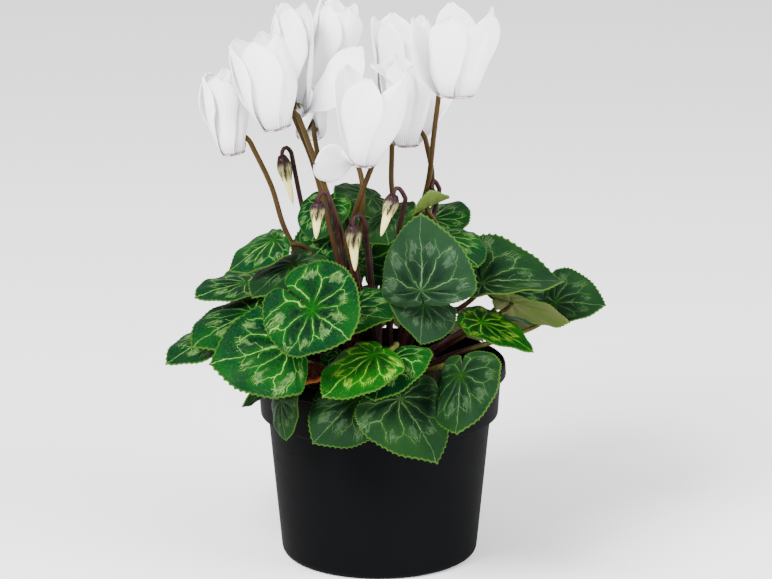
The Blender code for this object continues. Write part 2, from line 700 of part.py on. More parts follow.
def add_bud(number, bud, group):
    """A pointed bud of furled petals: rings of five lobes that turn as they narrow."""
    top, down, length = bud_line(bud)
    across = down.cross(Vector((0, 1, 0))).normalized()
    beside = down.cross(across)
    points = []
    for share, wide in BUD_RINGS:
        for k in range(BUD_SIDES):
            turn = 2 * math.pi * k / BUD_SIDES + BUD_TWIST * share
            radius = bud.radius * wide * (1.0 if k % 2 else BUD_GROOVE)
            out = math.cos(turn) * across + math.sin(turn) * beside
            points.append(top + share * length * down + radius * out)
    faces = [tuple(range(BUD_SIDES)), tuple(reversed(range(len(points) - BUD_SIDES, len(points))))]
    for row in range(len(BUD_RINGS) - 1):
        for k in range(BUD_SIDES):
            a, b = row * BUD_SIDES + k, row * BUD_SIDES + (k + 1) % BUD_SIDES
            faces.append((a, a + BUD_SIDES, b + BUD_SIDES, b))
    mesh = mesh_of(f"bud_{number:02d}", points, faces)
    work = bmesh.new()
    work.from_mesh(mesh)
    bmesh.ops.recalc_face_normals(work, faces=work.faces)
    work.to_mesh(mesh)
    work.free()
    return put(f"bud_{number:02d}", mesh, group, finish("bud_cream", (0.80, 0.76, 0.52), 0.5))


def bud_stalk_route(bud, sway_x, sway_y):
    """From the crown along the route, over the top, and on inside the calyx."""
    top, down, length = bud_line(bud)
    route = rod_route(climb(bud.route, sway_x, sway_y), BUD_STALK_STEPS)
    arch = [route[-1].lerp(top, share) + Vector((0, 0, rise)) for share, rise in BUD_ARCH]
    return route + arch + [top + share * length * down for share in CALYX_SHARES]


# Tuber and stalks


def add_tuber(group, brown):
    """The flattened round tuber, turned from its crown down to its underside."""
    profile = [(0.0, TUBER_MIDDLE + TUBER_HALF_HEIGHT)]
    for k in range(1, TUBER_RINGS):
        turn = math.pi * k / TUBER_RINGS
        profile.append((TUBER_RADIUS * math.sin(turn), TUBER_MIDDLE + TUBER_HALF_HEIGHT * math.cos(turn)))
    profile.append((0.0, TUBER_MIDDLE - TUBER_HALF_HEIGHT))
    return apply_modifiers(turned("tuber_and_stalks", profile, TUBER_SIDES, group, brown))


class Crowd:
    """The pot and every blade, flower and bud in one search tree, so that stalks can be led past them."""

    def __init__(self, things):
        points, faces, self.owners = [], [], []
        for thing in things:
            start = len(points)
            points += [vertex.co / MM for vertex in thing.data.vertices]
            for face in thing.data.polygons:
                faces.append([start + corner for corner in face.vertices])
                self.owners.append(thing.name)
        self.tree = BVHTree.FromPolygons(points, faces)

    def room(self, points, radii, own):
        """The least gap from a rod to the others, and to its own blade or flower but for its last steps."""
        least = WIDEST_LOOK
        for i, (a, b) in enumerate(zip(points, points[1:])):
            steps = max(1, round((b - a).length / LOOK_STEP))
            for k in range(steps):
                radius = radii[i] + (radii[i + 1] - radii[i]) * k / steps
                for _, _, face, far in self.tree.find_nearest_range(a.lerp(b, k / steps), radius + least):
                    if self.owners[face] != own or i < len(points) - OWN_STEPS:
                        least = min(least, far - radius)
        return least

    def clear_route(self, route, radii, own, tries):
        """The first of the tries whose route keeps clear of everything, or else the clearest."""
        best, widest = None, -math.inf
        for bends in tries:
            points = route(*bends)
            gap = self.room(points, radii, own)
            if gap >= STALK_GAP:
                return points
            if gap > widest:
                best, widest = points, gap
        return best


def gentlest_first(tries):
    return sorted(tries, key=lambda bends: sum(bend * bend for bend in bends))


def rod_route(points, count):
    return [Vector(p) for p in smooth_route([np.array(p) for p in points], count)]


def climb(route, sway_x, sway_y):
    """The seen part of a stalk, and a hidden place halfway to the crown, moved aside by the sways."""
    points = [Vector(p) for p in reversed(route)]
    halfway = points[0].lerp(points[1], 0.5) + Vector((sway_x, sway_y, 0.0))
    return [points[0], halfway, *points[1:]]


def tapered(radius, taper, count):
    return [float(share) * radius for share in np.linspace(*taper, count)]


def add_leaf_stalks(group, crowd, brown):
    bends = gentlest_first([(sway, lift) for sway in LEAF_SWAYS for lift in LEAF_LIFTS])
    radii = tapered(LEAF_STALK_RADIUS, LEAF_STALK_TAPER, LEAF_STALK_STEPS + 2)
    stalks = []
    for i, leaf in enumerate(LEAVES):
        own = f"leaf_{i + 1:02d}"
        route = crowd.clear_route(lambda *bend: leaf_stalk_route(leaf, *bend), radii, own, bends)
        stalks.append(tube(f"{own}_stalk", route, radii, group, brown))
    return stalks


def add_flower_stalks(group, crowd, brown):
    bends = gentlest_first([(x, y, turn) for x in FLOWER_SWAYS for y in FLOWER_SWAYS for turn in HOOK_TURNS])
    radii = tapered(FLOWER_STALK_RADIUS, FLOWER_STALK_TAPER, FLOWER_STALK_STEPS + len(HOOK) - 1)
    radii[-1] = CALYX_RADIUS
    stalks = []
    for i, flower in enumerate(FLOWERS):
        own = f"flower_{i + 1:02d}"
        route = crowd.clear_route(lambda *bend: flower_stalk_route(flower, *bend), radii, own, bends)
        stalks.append(tube(f"{own}_stalk", route, radii, group, brown))
    return stalks


def add_bud_stalks(group, crowd, brown):
    bends = gentlest_first([(x, y) for x in FLOWER_SWAYS for y in FLOWER_SWAYS])
    stem = tapered(BUD_STALK_RADIUS, BUD_STALK_TAPER, BUD_STALK_STEPS + len(BUD_ARCH) + 1)
    stalks = []
    for i, bud in enumerate(BUDS):
        own = f"bud_{i + 1:02d}"
        radii = stem + [BUD_STALK_TAPER[1] * bud.radius, bud.radius]
        route = crowd.clear_route(lambda *bend: bud_stalk_route(bud, *bend), radii, own, bends)
        stalks.append(tube(f"{own}_stalk", route, radii, group, brown))
    return stalks


def add_stalks(group, crowd):
    """The tuber with every stalk, joined as one body."""
    brown = finish("stalk_brown", (0.16, 0.075, 0.035), 0.5)
    tuber = add_tuber(group, brown)
    stalks = add_leaf_stalks(group, crowd, brown)
    stalks += add_flower_stalks(group, crowd, brown)
    stalks += add_bud_stalks(group, crowd, brown)
    return keep_largest_shell(join_all(tuber, stalks, group))


def main():
    clear_scene()
    plant = new_collection("potted_cyclamen")
    cutters = new_collection("cutters")
    pot = add_pot(plant, cutters)
    soil = add_soil(plant)
    tops = [add_leaf(i + 1, leaf, plant) for i, leaf in enumerate(LEAVES)]
    tops += [add_flower(i + 1, flower, plant) for i, flower in enumerate(FLOWERS)]
    tops += [add_bud(i + 1, bud, plant) for i, bud in enumerate(BUDS)]
    add_stalks(plant, Crowd([apply_modifiers(pot), soil, *tops]))


if __name__ == "__main__":
    main()
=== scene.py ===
"""A white florist's cyclamen in a 12 cm nursery pot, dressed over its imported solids.

Every leaf, flower, bud and stalk follows the same sizes and places as its solid, in millimetres and
degrees, with the pot's axis on z and the side that the camera sees at -y.
"""

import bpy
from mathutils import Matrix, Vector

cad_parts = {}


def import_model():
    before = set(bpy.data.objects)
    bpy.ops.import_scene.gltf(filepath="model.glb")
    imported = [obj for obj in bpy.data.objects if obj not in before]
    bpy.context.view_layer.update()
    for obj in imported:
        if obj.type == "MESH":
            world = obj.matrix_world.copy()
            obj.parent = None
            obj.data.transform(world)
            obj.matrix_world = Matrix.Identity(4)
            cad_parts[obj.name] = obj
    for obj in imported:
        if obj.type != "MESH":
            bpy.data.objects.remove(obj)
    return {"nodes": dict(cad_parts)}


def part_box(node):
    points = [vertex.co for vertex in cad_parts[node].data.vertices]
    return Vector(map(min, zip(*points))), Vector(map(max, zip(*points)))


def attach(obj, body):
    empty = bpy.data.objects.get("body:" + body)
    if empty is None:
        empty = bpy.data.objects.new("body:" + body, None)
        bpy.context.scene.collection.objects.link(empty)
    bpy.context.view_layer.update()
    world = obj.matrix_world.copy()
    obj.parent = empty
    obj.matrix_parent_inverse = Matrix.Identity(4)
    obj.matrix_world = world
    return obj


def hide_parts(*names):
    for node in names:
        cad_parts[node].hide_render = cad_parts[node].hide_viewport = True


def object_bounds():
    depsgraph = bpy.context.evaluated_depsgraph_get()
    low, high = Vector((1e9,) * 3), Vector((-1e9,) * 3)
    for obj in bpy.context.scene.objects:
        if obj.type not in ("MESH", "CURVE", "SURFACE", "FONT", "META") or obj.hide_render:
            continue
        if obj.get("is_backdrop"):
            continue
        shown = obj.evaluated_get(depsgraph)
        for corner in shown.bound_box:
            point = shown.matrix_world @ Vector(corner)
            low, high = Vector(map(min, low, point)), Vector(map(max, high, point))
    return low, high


bl_info = {
    "name": "Potted cyclamen",
    "version": (1, 0, 0),
    "blender": (4, 5, 0),
    "location": "3D View > Sidebar > Cyclamen",
    "description": "Makes a white cyclamen in a nursery pot, with its finishes and a plain stage",
    "category": "Object",
}

import math
from itertools import product
from typing import NamedTuple

import bmesh
import bpy
import numpy as np
from bpy.props import FloatProperty, FloatVectorProperty, IntProperty, PointerProperty
from mathutils import Matrix, Vector, noise
from mathutils.bvhtree import BVHTree

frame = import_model()
CAD_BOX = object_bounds()
BODY = "root"
MM = 0.001

# Pot and soil
POT_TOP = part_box("pot")[1].z / MM
RIM_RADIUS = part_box("pot")[1].x / MM
LIP_HEIGHT = 6.5
LIP_ROUND = 2.0
LIP_WIDTH = 4.0
COLLAR_RADIUS = 57.5
COLLAR_TAPER = 1.2
COLLAR_BOTTOM = 69.0
STEP_HEIGHT = 1.5
BODY_RADIUS = 52.7
BASE_RADIUS = 46.2
BASE_ROUND = 2.0
WALL = 1.5
POT_FLOOR = 2.0
DRAIN_HOLES = 6
DRAIN_RADIUS = 4.0
DRAIN_CIRCLE = 36.0
SOIL_TOP = 82.0
SOIL_BUMP = 1.2
SOIL_EDGE = 55.2
SOIL_RINGS = 40
SOIL_SIDES = 160
CRUMB_SIZES = (0.5, 1.9)
CRUMB_SEED = 7
SHARP_FROM = math.radians(35.0)

# Tuber
TUBER_RADIUS = 21.0
TUBER_HALF_HEIGHT = 10.5
TUBER_MIDDLE = 80.5
TUBER_LUMPS = 0.05
CROWN_HEIGHT = 86.0

# Leaf blades
BLADE = 0.8
FIT_GAP = 0.3
LEAF_WAVES = 3
HALF_OUTLINE = ((0, 0.66), (9, 0.615), (22, 0.57), (42, 0.53), (65, 0.50), (92, 0.485), (122, 0.49),
                (146, 0.49), (161, 0.475), (170, 0.45), (175.5, 0.42), (178.4, 0.36), (180, 0.07))
OUTLINE_ROUND = 6.0
NOTCH_FADE = (150.0, 168.0)
EDGE_FLUTTER = 0.010
EDGE_FLUTTERS = 9
BLADE_RINGS = (0.0, 0.05, 0.12, 0.20, 0.29, 0.38, 0.47, 0.56, 0.65, 0.74, 0.82, 0.89, 0.95, 1.0)
VEIN_SECTOR = math.radians(41.0)
VEIN_BEND = 0.85
VEIN_DRIFT = 0.09
VEIN_WIDTH = 0.0004
VEIN_SWELL = 0.0026
VEIN_SOFT = 0.0045
TWIG_WIDTH = 0.0006
FORK_LEAST = 0.15
FORK_SPREAD = 0.26
UV_SPAN = 0.7
WITHERED = 41
LIT_UNDERSIDES = (26, 27, 29)
LEAF_KINDS = {"fresh": (14, 22), "misty": (23, 24), "grey": (1, 2, 10, 17, 18, 19, 20, 21, 25, 26, 27)}

# Leaf stalks: where they leave the crown, how they rise, and how they come in under the blade
LEAF_STALK_RADIUS = 1.15
LEAF_STALK_TAPER = (1.25, 0.9)
LEAF_STALK_STEPS = 4
LEAF_STALK_RINGS = 30
LEAF_NECK = 1.6
ROOT_NEAR = 4.0
ROOT_FAR = 14.0
ROOT_SPREAD = 0.14
LEAST_RISE = 10.0
RISE_SHARE = 0.45
HANDLE_SHARE = 0.3
LATE_SWAY = 0.6
LATE_LIFT = 0.5
ARRIVE_TILT = 20.0
ARRIVE_TILT_PER_PITCH = 1.2
ARRIVE_TILT_MOST = 65.0

# Flowers
PETAL_WIDTH = ((0.0, 0.28), (0.15, 0.32), (0.36, 0.68), (0.62, 1.0), (0.80, 0.84), (0.92, 0.50), (1.0, 0.04))
PETAL_FOOT = ((0.0, 0.36), (0.15, 0.52), (0.36, 0.80), (0.62, 1.0), (0.80, 0.84), (0.92, 0.50), (1.0, 0.04))
SLOT_SIDES = (-1, 0, 0, 0, 1)
PETAL_BASE_TURN = 45.0
PETAL_BENDS = ((0.08, 10.0), (0.25, 6.0), (0.65, -2.0), (1.0, -10.0))
PETAL_TURNS = (51.0, 115.0, 180.0, 245.0, 309.0)
# A petal's own lean, turn, share of the length, curl at the tip and roll
PLAIN_PETAL = (0.0, 0.0, 1.0, 0.0, 0.0)
ROLL_START = 0.3
PETAL_ROOT = 0.5
SPINE_STEPS = 40
SHUTTER = 0.18
PETAL_TWIST = 30.0
TUBE_HEIGHT = 5.5
MOUTH_LIP = 1.4
PETAL_SEED = 100
# Rings of (radius, share of the tube's height), from the top of the cone down to the style's tip
ANTHERS = ((0.02, 0.70), (1.5, 0.66), (1.9, 0.50), (1.3, 0.28), (0.45, 0.12), (0.35, -0.10), (0.02, -0.12))

# Flower stalks: the hook is a list of (out, up) from the tube's top, for a mouth of HOOK_MOUTH
FLOWER_STALK_RADIUS = 1.2
FLOWER_STALK_TAPER = (1.15, 0.9)
FLOWER_STALK_STEPS = 7
FLOWER_STALK_RINGS = 90
HOOK = ((10.4, -4.0), (9.2, -0.4), (6.8, 2.4), (3.4, 3.9), (0.8, 3.4), (0.0, 2.0), (0.0, 0.3))
HOOK_MOUTH = 6.0
CALYX_RADIUS = 2.8

# Buds: rings of (share of the length, share of the radius), and the arch of the stalk over the top
BUD_BODY = ((0.0, 0.35), (0.08, 0.62), (0.2, 0.80), (0.33, 0.76), (0.45, 0.60), (0.62, 0.52), (0.8, 0.38),
            (0.93, 0.22), (1.0, 0.05))
BUD_TWIST = 1.6
BUD_ROWS = 44
BUD_SIDES = 60
FURL = 0.16
BUD_STALK_RADIUS = 1.15
BUD_STALK_TAPER = (1.15, 0.85)
BUD_STALK_STEPS = 5
BUD_STALK_RINGS = 70
BUD_ARCH = ((0.1, 2.6), (0.5, 4.4), (0.9, 2.8))
CALYX_SHARES = (0.03, 0.16, 0.40)

# Sepals
SEPALS = 5
SEPAL_WIDTH = ((0.0, 0.7), (0.3, 1.0), (0.6, 0.8), (0.85, 0.4), (1.0, 0.05))
SEPAL_ROWS = 12
SEPAL_COLUMNS = 7
SEPAL_THICKNESS = 0.35

# How the stalks find their way: the bends that are tried, and the gap that they keep
STALK_GAP = 0.4
WIDEST_LOOK = 3.0
LOOK_STEP = 1.2
OWN_STEPS = 3
LEAF_SWAYS = range(-40, 41, 5)
LEAF_LIFTS = range(-18, 37, 6)
FLOWER_SWAYS = range(-20, 21, 5)
HOOK_TURNS = range(-9, 10, 3)

# Camera: where it stands, how far it looks down, and its lens for a sensor as wide as the picture
CAMERA_PLACE = (3.1, -1500.0, 514.0)
CAMERA_PITCH = 14.42
CAMERA_LENS = 153.6
SENSOR_WIDTH = 36.0

# Floor, and lights as a name, a place and a width
FLOOR_REACH = 6000.0
LIGHTS_AIM = (0.0, 0.0, 130.0)
LIGHTS = (("key", (-900.0, -1100.0, 1500.0), 900.0), ("fill", (1300.0, -800.0, 800.0), 1200.0))


class Leaf(NamedTuple):
    """A blade: where its stalk meets it, which way its tip points, its length and how it is bent."""

    x: float
    y: float
    z: float
    aim: float
    pitch: float
    roll: float
    size: float
    left: float = 30.0
    right: float = 30.0
    droop: float = 25.0
    tuck: float = 25.0
    wave: float = 0.02
    phase: float = 0.0
    lobes: float = 1.0


class Flower(NamedTuple):
    """A nodding flower: its mouth, how its axis leans, which side its stalk hooks over, and its petals."""

    mouth: tuple
    radius: float
    lean: float
    lean_aim: float
    side: float
    length: float
    width: float
    flare: float
    route: tuple
    special: dict = {}


class Bud(NamedTuple):
    """A hanging bud: where its calyx starts, where its tip ends, its radius and its stalk's route."""

    top: tuple
    tip: tuple
    radius: float
    route: tuple


LEAVES = (
    # Left front, from the rim up
    Leaf(-44.9, -54.5, 90.0, -80, -70, 70, 28, 30, 30, 15, 40, lobes=0.4),
    Leaf(-52.0, -46.0, 95.0, -135, -34, -122, 24, 30, 30, 20, 40, lobes=0.3),
    Leaf(-41.3, -57.0, 116.5, -175, -7, -34, 56, 36, -13, 23, 60, lobes=0.3),
    Leaf(-59.0, -30.0, 125.5, -155, -17, -6, 50, 50, 20, 20, 20, lobes=0.6),
    Leaf(-72.0, -19.0, 113.0, -158, -16, -2, 48, 0, 30, 20, 30, lobes=0.8),
    Leaf(-63.0, -7.5, 133.5, -153, -4, -2, 39, 12, 5, 15, 10, lobes=0.6),
    Leaf(-53.0, 18.5, 131.0, -160, 7, -8, 34, 30, 25, 25, 30, lobes=0.7),
    Leaf(-29.5, -74.5, 138.0, -60, -9, 46, 48, -27, 6, 13, -28, lobes=1.3),
    Leaf(-48.5, -28.0, 159.0, -168, -26, -6, 38, 37, 22, 22, 29, lobes=0.35),
    Leaf(-40.0, -36.0, 149.5, -142, -21, 3, 39, 35, 26, 20, 39, lobes=0.8),
    Leaf(-25.9, 6.3, 167.0, -120, -45, 0, 28, 25, 25, 20, 30, lobes=0.7),
    # Front middle
    Leaf(-22.3, 8.0, 151.4, -118, -14, -20, 30, 25, 25, 20, 30),
    Leaf(-16.5, -34.0, 127.0, -46, 6, 22, 46, 24, 25, 13, 30, lobes=0.5),
    Leaf(-3.0, -74.0, 117.0, -149, -28, -5, 46, 28, 36, 13, 44, lobes=0.35),
    Leaf(5.5, -68.0, 113.5, -109, -25, 12, 41, 20, 20, 13, 31, lobes=0.55),
    Leaf(-18.0, -39.0, 106.7, -80, -26, 0, 19, 25, 25, 20, 30, lobes=0.6),
    Leaf(-10.5, -68.0, 94.2, -158, -38, -28, 42, 60, 20, 10, 50, lobes=0.6),
    Leaf(10.2, -75.5, 96.7, -36, -50, 15, 50, 40, 60, 10, 30, lobes=0.5),
    Leaf(3.2, -5.0, 165.1, -91, -22, 30, 31, 25, 25, 20, 30, lobes=0.5),
    Leaf(-3.5, 23.5, 167.5, -133, 7, -23, 35, 31, 26, 19, 30, lobes=0.55),
    # Right front, from the rim up
    Leaf(36.5, -78.5, 108.5, -97, -49, 30, 43, 25, 95, 5, 30, lobes=0.6),
    Leaf(48.1, -27.5, 119.5, -20, -20, 6, 41, 30, -30, 17, -60, lobes=0.6),
    Leaf(19.4, -60.3, 143.3, 99, 75, -39, 53, 66, 33, 5, 100, lobes=0.3),
    Leaf(20.2, -40.0, 131.8, -91, -35, -22, 34, 10, 0, 15, 60, lobes=0.5),
    Leaf(48.0, -20.5, 137.0, 2, 5, 17, 57, -90, -90, 15, 20, lobes=0.5),
    Leaf(83.5, 18.0, 117.5, -21, 5, 35, 38, -50, -67, 14, 20, lobes=0.4),
    Leaf(62.0, -8.0, 124.5, -14, -12, -32, 44, 15, 15, 15, 20, lobes=0.5),
    Leaf(29.5, -15.0, 157.0, -50, -16, 0, 40, 20, 20, 15, 20, lobes=0.5),
    Leaf(21.5, -20.0, 173.0, -66, 9, 17, 23, 8, 8, -119, -30, lobes=0.5),
    # The far side, outer ring and upper ring
    Leaf(60.5, 31.0, 121.0, 28, -4, 10, 40, lobes=0.7),
    Leaf(50.0, 47.0, 106.0, 44, -18, -6, 54),
    Leaf(26.0, 64.0, 97.0, 70, -28, 5, 54),
    Leaf(-1.0, 63.0, 109.0, 93, -38, -8, 50),
    Leaf(-36.5, 61.0, 96.0, 127, -28, 6, 42),
    Leaf(-52.0, 45.0, 114.0, 142, -18, -5, 54),
    Leaf(-66.0, 22.0, 104.0, 165, -24, 8, 54),
    Leaf(38.0, 22.0, 144.0, 28, -10, 5, 46, lobes=0.6),
    Leaf(25.0, 28.0, 156.0, 58, 18, 0, 36, lobes=0.6),
    Leaf(-8.0, 44.0, 131.0, 98, 60, 0, 46, lobes=0.6),
    Leaf(-22.0, 26.0, 136.0, 104, 55, 0, 42, lobes=0.6),
    # Withered, behind the front leaves
    Leaf(-30.7, -50.0, 105.5, -107, -7, 0, 18, 90, 90, 90, 30, lobes=0.4),
)

FLOWERS = (
    Flower((-67.6, 6.0, 192.2), 5.4, 11, 178, -12, 39, 22, 2,
           ((-52.0, 4, 182.5), (-45.0, -2, 160.0), (-7, -2, 87))),
    Flower((-46.5, -18.0, 209.1), 6.3, 14, 180, -5, 44, 26, 7,
           ((-26.3, -20, 185.5), (-12.6, -24, 147.6), (-4, -8, 87))),
    Flower((-40.1, 6.0, 210.2), 6.0, 1, 0, -86, 52, 25, 1,
           ((-30.5, 0, 187.6), (-20.3, -8, 148.9), (-6, -5, 87)), {0: (39, 12, 0.8, 0, 60)}),
    Flower((-26.3, 30.0, 216.9), 6.0, 10, 0, -40, 43, 26, 3,
           ((-14.0, 14, 198.0), (-9.3, -5, 184.4), (-6.1, -14, 172.2), (0, -3, 87))),
    Flower((-33.3, 44.0, 191.3), 5.8, 3, 90, -75, 30, 16, 2,
           ((-27.3, 31, 176.2), (-18.5, 29, 145.2), (-4, 5, 87))),
    Flower((-7.8, -28.0, 193.9), 5.3, 6, 0, 55, 45, 24, 14,
           ((-10.2, -20, 172.7), (-12.7, -12, 154.7), (-1, -5, 87)), {1: (76, 7, 0.42, 0, 60)}),
    Flower((13.3, 6.0, 196.1), 5.8, 2, 180, -30, 42, 25, 5,
           ((22.8, 2, 188.0), (24.5, 7, 174.0), (6, 2, 87)), {0: (36, 0, 0.8, 0, 0), 2: (-6, 0, 1, 80, 0)}),
    Flower((9.0, 36.0, 208.8), 6.0, 2, 0, -100, 43, 25, 8,
           ((6.0, 28, 190.0), (5.9, 25, 168.5), (2, 6, 87))),
    Flower((34.9, -20.0, 224.9), 8.6, 0, 0, 118, 41, 24, 13,
           ((23.6, -6, 190.6), (20.7, 0, 171.0), (4, -2, 87)), {0: (8, 16, 1, 0, -35), 3: (0, -10, 1, 0, 0)}),
)

BUDS = (
    Bud((-45.9, 14.0, 189.8), (-40.7, 14.0, 166.2), 3.4,
        ((-41.0, 18, 187.5), (-38.0, 19, 169.6), (-30, 18, 140), (-9, 0, 87))),
    Bud((-27.9, -34.0, 178.6), (-29.0, -34.0, 160.9), 3.6,
        ((-22.7, -32, 177.9), (-18.6, -26, 160.2), (-15, -18, 135), (-6, -8, 87))),
    Bud((-11.9, -38.0, 168.9), (-11.1, -38.0, 146.8), 3.9,
        ((-6.4, -34, 167.1), (-4.3, -14, 134.4), (-1, -6, 87))),
    Bud((6.7, -36.0, 182.4), (0.8, -38.0, 163.3), 3.7,
        ((11.8, -33, 178.1), (8.2, -27, 160.7), (5, -18, 125), (3, -7, 87))),
    Bud((24.1, -2.0, 177.6), (23.6, -3.0, 168.4), 2.4,
        ((27.8, 2, 174.6), (22, 1, 150), (5, -4, 87))),
)


# Low enough that the soft light doesn't wash out leaves and plastic
LOW_SHINE = 0.02


# What a user would change


def colour(name, description, default):
    return FloatVectorProperty(name=name, description=description, default=default,
                               subtype="COLOR", size=3, min=0.0, max=1.0)


def length(name, description, default):
    return FloatProperty(name=name, description=description, default=default, unit="LENGTH", min=0.0)


class PotSettings(bpy.types.PropertyGroup):
    """The nursery pot and what fills it."""

    steps: IntProperty(name="Steps", description="Sides of the turned pot", default=128, min=16)
    plastic: colour("Plastic", "Black moulded plastic", (0.0022, 0.0023, 0.0026))
    grains: IntProperty(name="Grains", description="Crumbs lying on the compost", default=420, min=0)
    soil: colour("Compost", "Damp peat compost", (0.022, 0.014, 0.009))
    soil_dry: colour("Dry compost", "Fibres and dry crumbs", (0.085, 0.055, 0.032))


class LeafSettings(bpy.types.PropertyGroup):
    """The blades."""

    columns: IntProperty(name="Columns", description="Points round a blade's edge", default=180, min=60)
    teeth: IntProperty(name="Teeth", description="Small rounded teeth round a blade", default=60, min=10)
    tooth: FloatProperty(name="Tooth", description="Height of a tooth, as a share of the blade's size",
                         default=0.010, min=0.0, max=0.1, subtype="FACTOR")
    thickness: length("Thickness", "Thickness of a blade", 0.00055)
    puff: FloatProperty(name="Puff", description="Rise between the veins, as a share of the blade's size",
                        default=0.012, min=0.0, max=0.1, subtype="FACTOR")


class FlowerSettings(bpy.types.PropertyGroup):
    """The petals, tubes and calyxes."""

    rows: IntProperty(name="Rows", description="Points along a petal", default=34, min=8)
    columns: IntProperty(name="Columns", description="Points across a petal", default=19, min=5)
    thickness: length("Thickness", "Thickness of a petal", 0.00035)
    white: colour("White", "The petals' white", (0.90, 0.90, 0.91))
    blush: colour("Blush", "The ribs at the mouth", (0.25, 0.13, 0.17))


class StalkSettings(bpy.types.PropertyGroup):
    """The stalks and the tuber."""

    sides: IntProperty(name="Sides", description="Sides of a stalk", default=12, min=5)
    olive: colour("Olive", "The upper half of a flower stalk", (0.036, 0.0200, 0.0030))
    maroon: colour("Maroon", "Stalks near the crown and at their hooks", (0.022, 0.0058, 0.0045))
    pale: colour("Pale green", "Leaf stalks where they leave the shade", (0.065, 0.085, 0.014))


class StageSettings(bpy.types.PropertyGroup):
    """The floor and the light."""

    floor: colour("Floor", "Plain pale floor", (0.90, 0.90, 0.90))
    key: FloatProperty(name="Key light", description="Watts of the key light", default=120.0, min=0.0)
    fill: FloatProperty(name="Fill light", description="Watts of the fill light", default=50.0, min=0.0)
    sky: FloatProperty(name="Sky", description="Strength of the surroundings", default=1.3, min=0.0)


# Shader nodes


def before(operation):
    return lambda sock, value: sock.finish.maths(operation, sock, value)


def after(operation):
    return lambda sock, value: sock.finish.maths(operation, value, sock)


class Sock:
    """A node's output. Arithmetic on it adds Math nodes."""

    __add__, __radd__ = before("ADD"), after("ADD")
    __sub__, __rsub__ = before("SUBTRACT"), after("SUBTRACT")
    __mul__, __rmul__ = before("MULTIPLY"), after("MULTIPLY")
    __truediv__, __rtruediv__ = before("DIVIDE"), after("DIVIDE")

    def __init__(self, finish, socket):
        self.finish = finish
        self.socket = socket

    def __abs__(self):
        return self.finish.maths("ABSOLUTE", self)


class Finish:
    """A material and the ways to add nodes to it."""

    def __init__(self, name):
        self.material = bpy.data.materials.new(name)
        self.material.use_nodes = True
        self.tree = self.material.node_tree
        self.shader = self.tree.nodes["Principled BSDF"]

    def feed(self, socket, value):
        if isinstance(value, Sock):
            self.tree.links.new(value.socket, socket)
        elif socket.type == "RGBA":
            socket.default_value = (*value, 1.0)
        else:
            socket.default_value = value

    def node(self, kind, settings, inputs, output=0):
        """Adds a node, sets its settings first and then its sockets, and gives one of its outputs."""
        made = self.tree.nodes.new(kind)
        for name, value in settings.items():
            setattr(made, name, value)
        for name, value in inputs.items():
            self.feed(made.inputs[name], value)
        return Sock(self, made.outputs[output])

    def maths(self, operation, *values):
        return self.node("ShaderNodeMath", {"operation": operation}, dict(enumerate(values)))

    def mix(self, start, end, share):
        return self.node("ShaderNodeMix", {"data_type": "RGBA"}, {0: share, 6: start, 7: end}, 2)

    def step(self, value, low, high):
        """0 below low and 1 above high, or the other way round where low is the greater."""
        return self.node("ShaderNodeMapRange", {"interpolation_type": "SMOOTHSTEP"},
                         {"Value": value, "From Min": low, "From Max": high})

    def place(self):
        return self.node("ShaderNodeTexCoord", {}, {}, "Object")

    def uv(self, name):
        return self.node("ShaderNodeUVMap", {"uv_map": name}, {})

    def noise(self, place, scale, detail=2.0, rough=0.5, output=0):
        return self.node("ShaderNodeTexNoise", {}, {"Vector": place, "Scale": scale, "Detail": detail,
                                                    "Roughness": rough}, output)

    def cells(self, place, scale, feature="F1"):
        return self.node("ShaderNodeTexVoronoi", {"feature": feature}, {"Vector": place, "Scale": scale})

    def stretched(self, place, scale):
        return self.node("ShaderNodeVectorMath", {"operation": "MULTIPLY"}, {0: place, 1: scale})

    def streaks(self, across=700.0, up=60.0):
        """Noise with one scale across and another up z."""
        return self.noise(self.stretched(self.place(), (across, across, up)), 1.0, 3.0)

    def split(self, vector):
        """The vector's three numbers."""
        parts = self.node("ShaderNodeSeparateXYZ", {}, {0: vector})
        return [Sock(self, socket) for socket in parts.socket.node.outputs]

    def bump(self, height, distance):
        return self.node("ShaderNodeBump", {}, {"Height": height, "Distance": distance})

    def wear(self, **inputs):
        """Feeds the shader's sockets, named with underscores for spaces, and gives the material."""
        for name, value in inputs.items():
            self.feed(self.shader.inputs[name.replace("_", " ")], value)
        return self.material


# Finishes


def black_plastic(settings):
    """Moulded black plastic: a fine grain, faint scuffs and a film of dust."""
    finish = Finish("black_plastic")
    place = finish.place()
    cloud = finish.noise(place, 28.0, 4.0)
    grain = finish.noise(place, 1500.0, 2.0)
    scuffs = finish.streaks(90.0, 900.0)
    dusty = finish.step(cloud, 0.45, 0.75) * 0.35
    shade = finish.mix(tuple(settings.plastic), (0.0030, 0.0032, 0.0036), dusty)
    rough = 0.54 + cloud * 0.14 + finish.step(scuffs, 0.62, 0.74) * 0.12
    normal = finish.bump(grain * 0.6 + scuffs * 0.4, 0.00006)
    return finish.wear(Base_Color=shade, Roughness=rough, Normal=normal, Specular_IOR_Level=LOW_SHINE)


def compost(settings):
    """Damp peat: dark, with lighter fibres and crumbs."""
    finish = Finish("potting_soil")
    place = finish.place()
    clods = finish.noise(place, 420.0, 6.0, 0.7)
    fibres = finish.noise(finish.stretched(place, (1500.0, 260.0, 600.0)), 1.0, 3.0)
    dry = finish.step(clods, 0.5, 0.72) * 0.5 + finish.step(fibres, 0.66, 0.76) * 0.6
    shade = finish.mix(tuple(settings.soil), tuple(settings.soil_dry), dry)
    normal = finish.bump(clods, 0.0012)
    return finish.wear(Base_Color=shade, Roughness=0.92, Normal=normal)


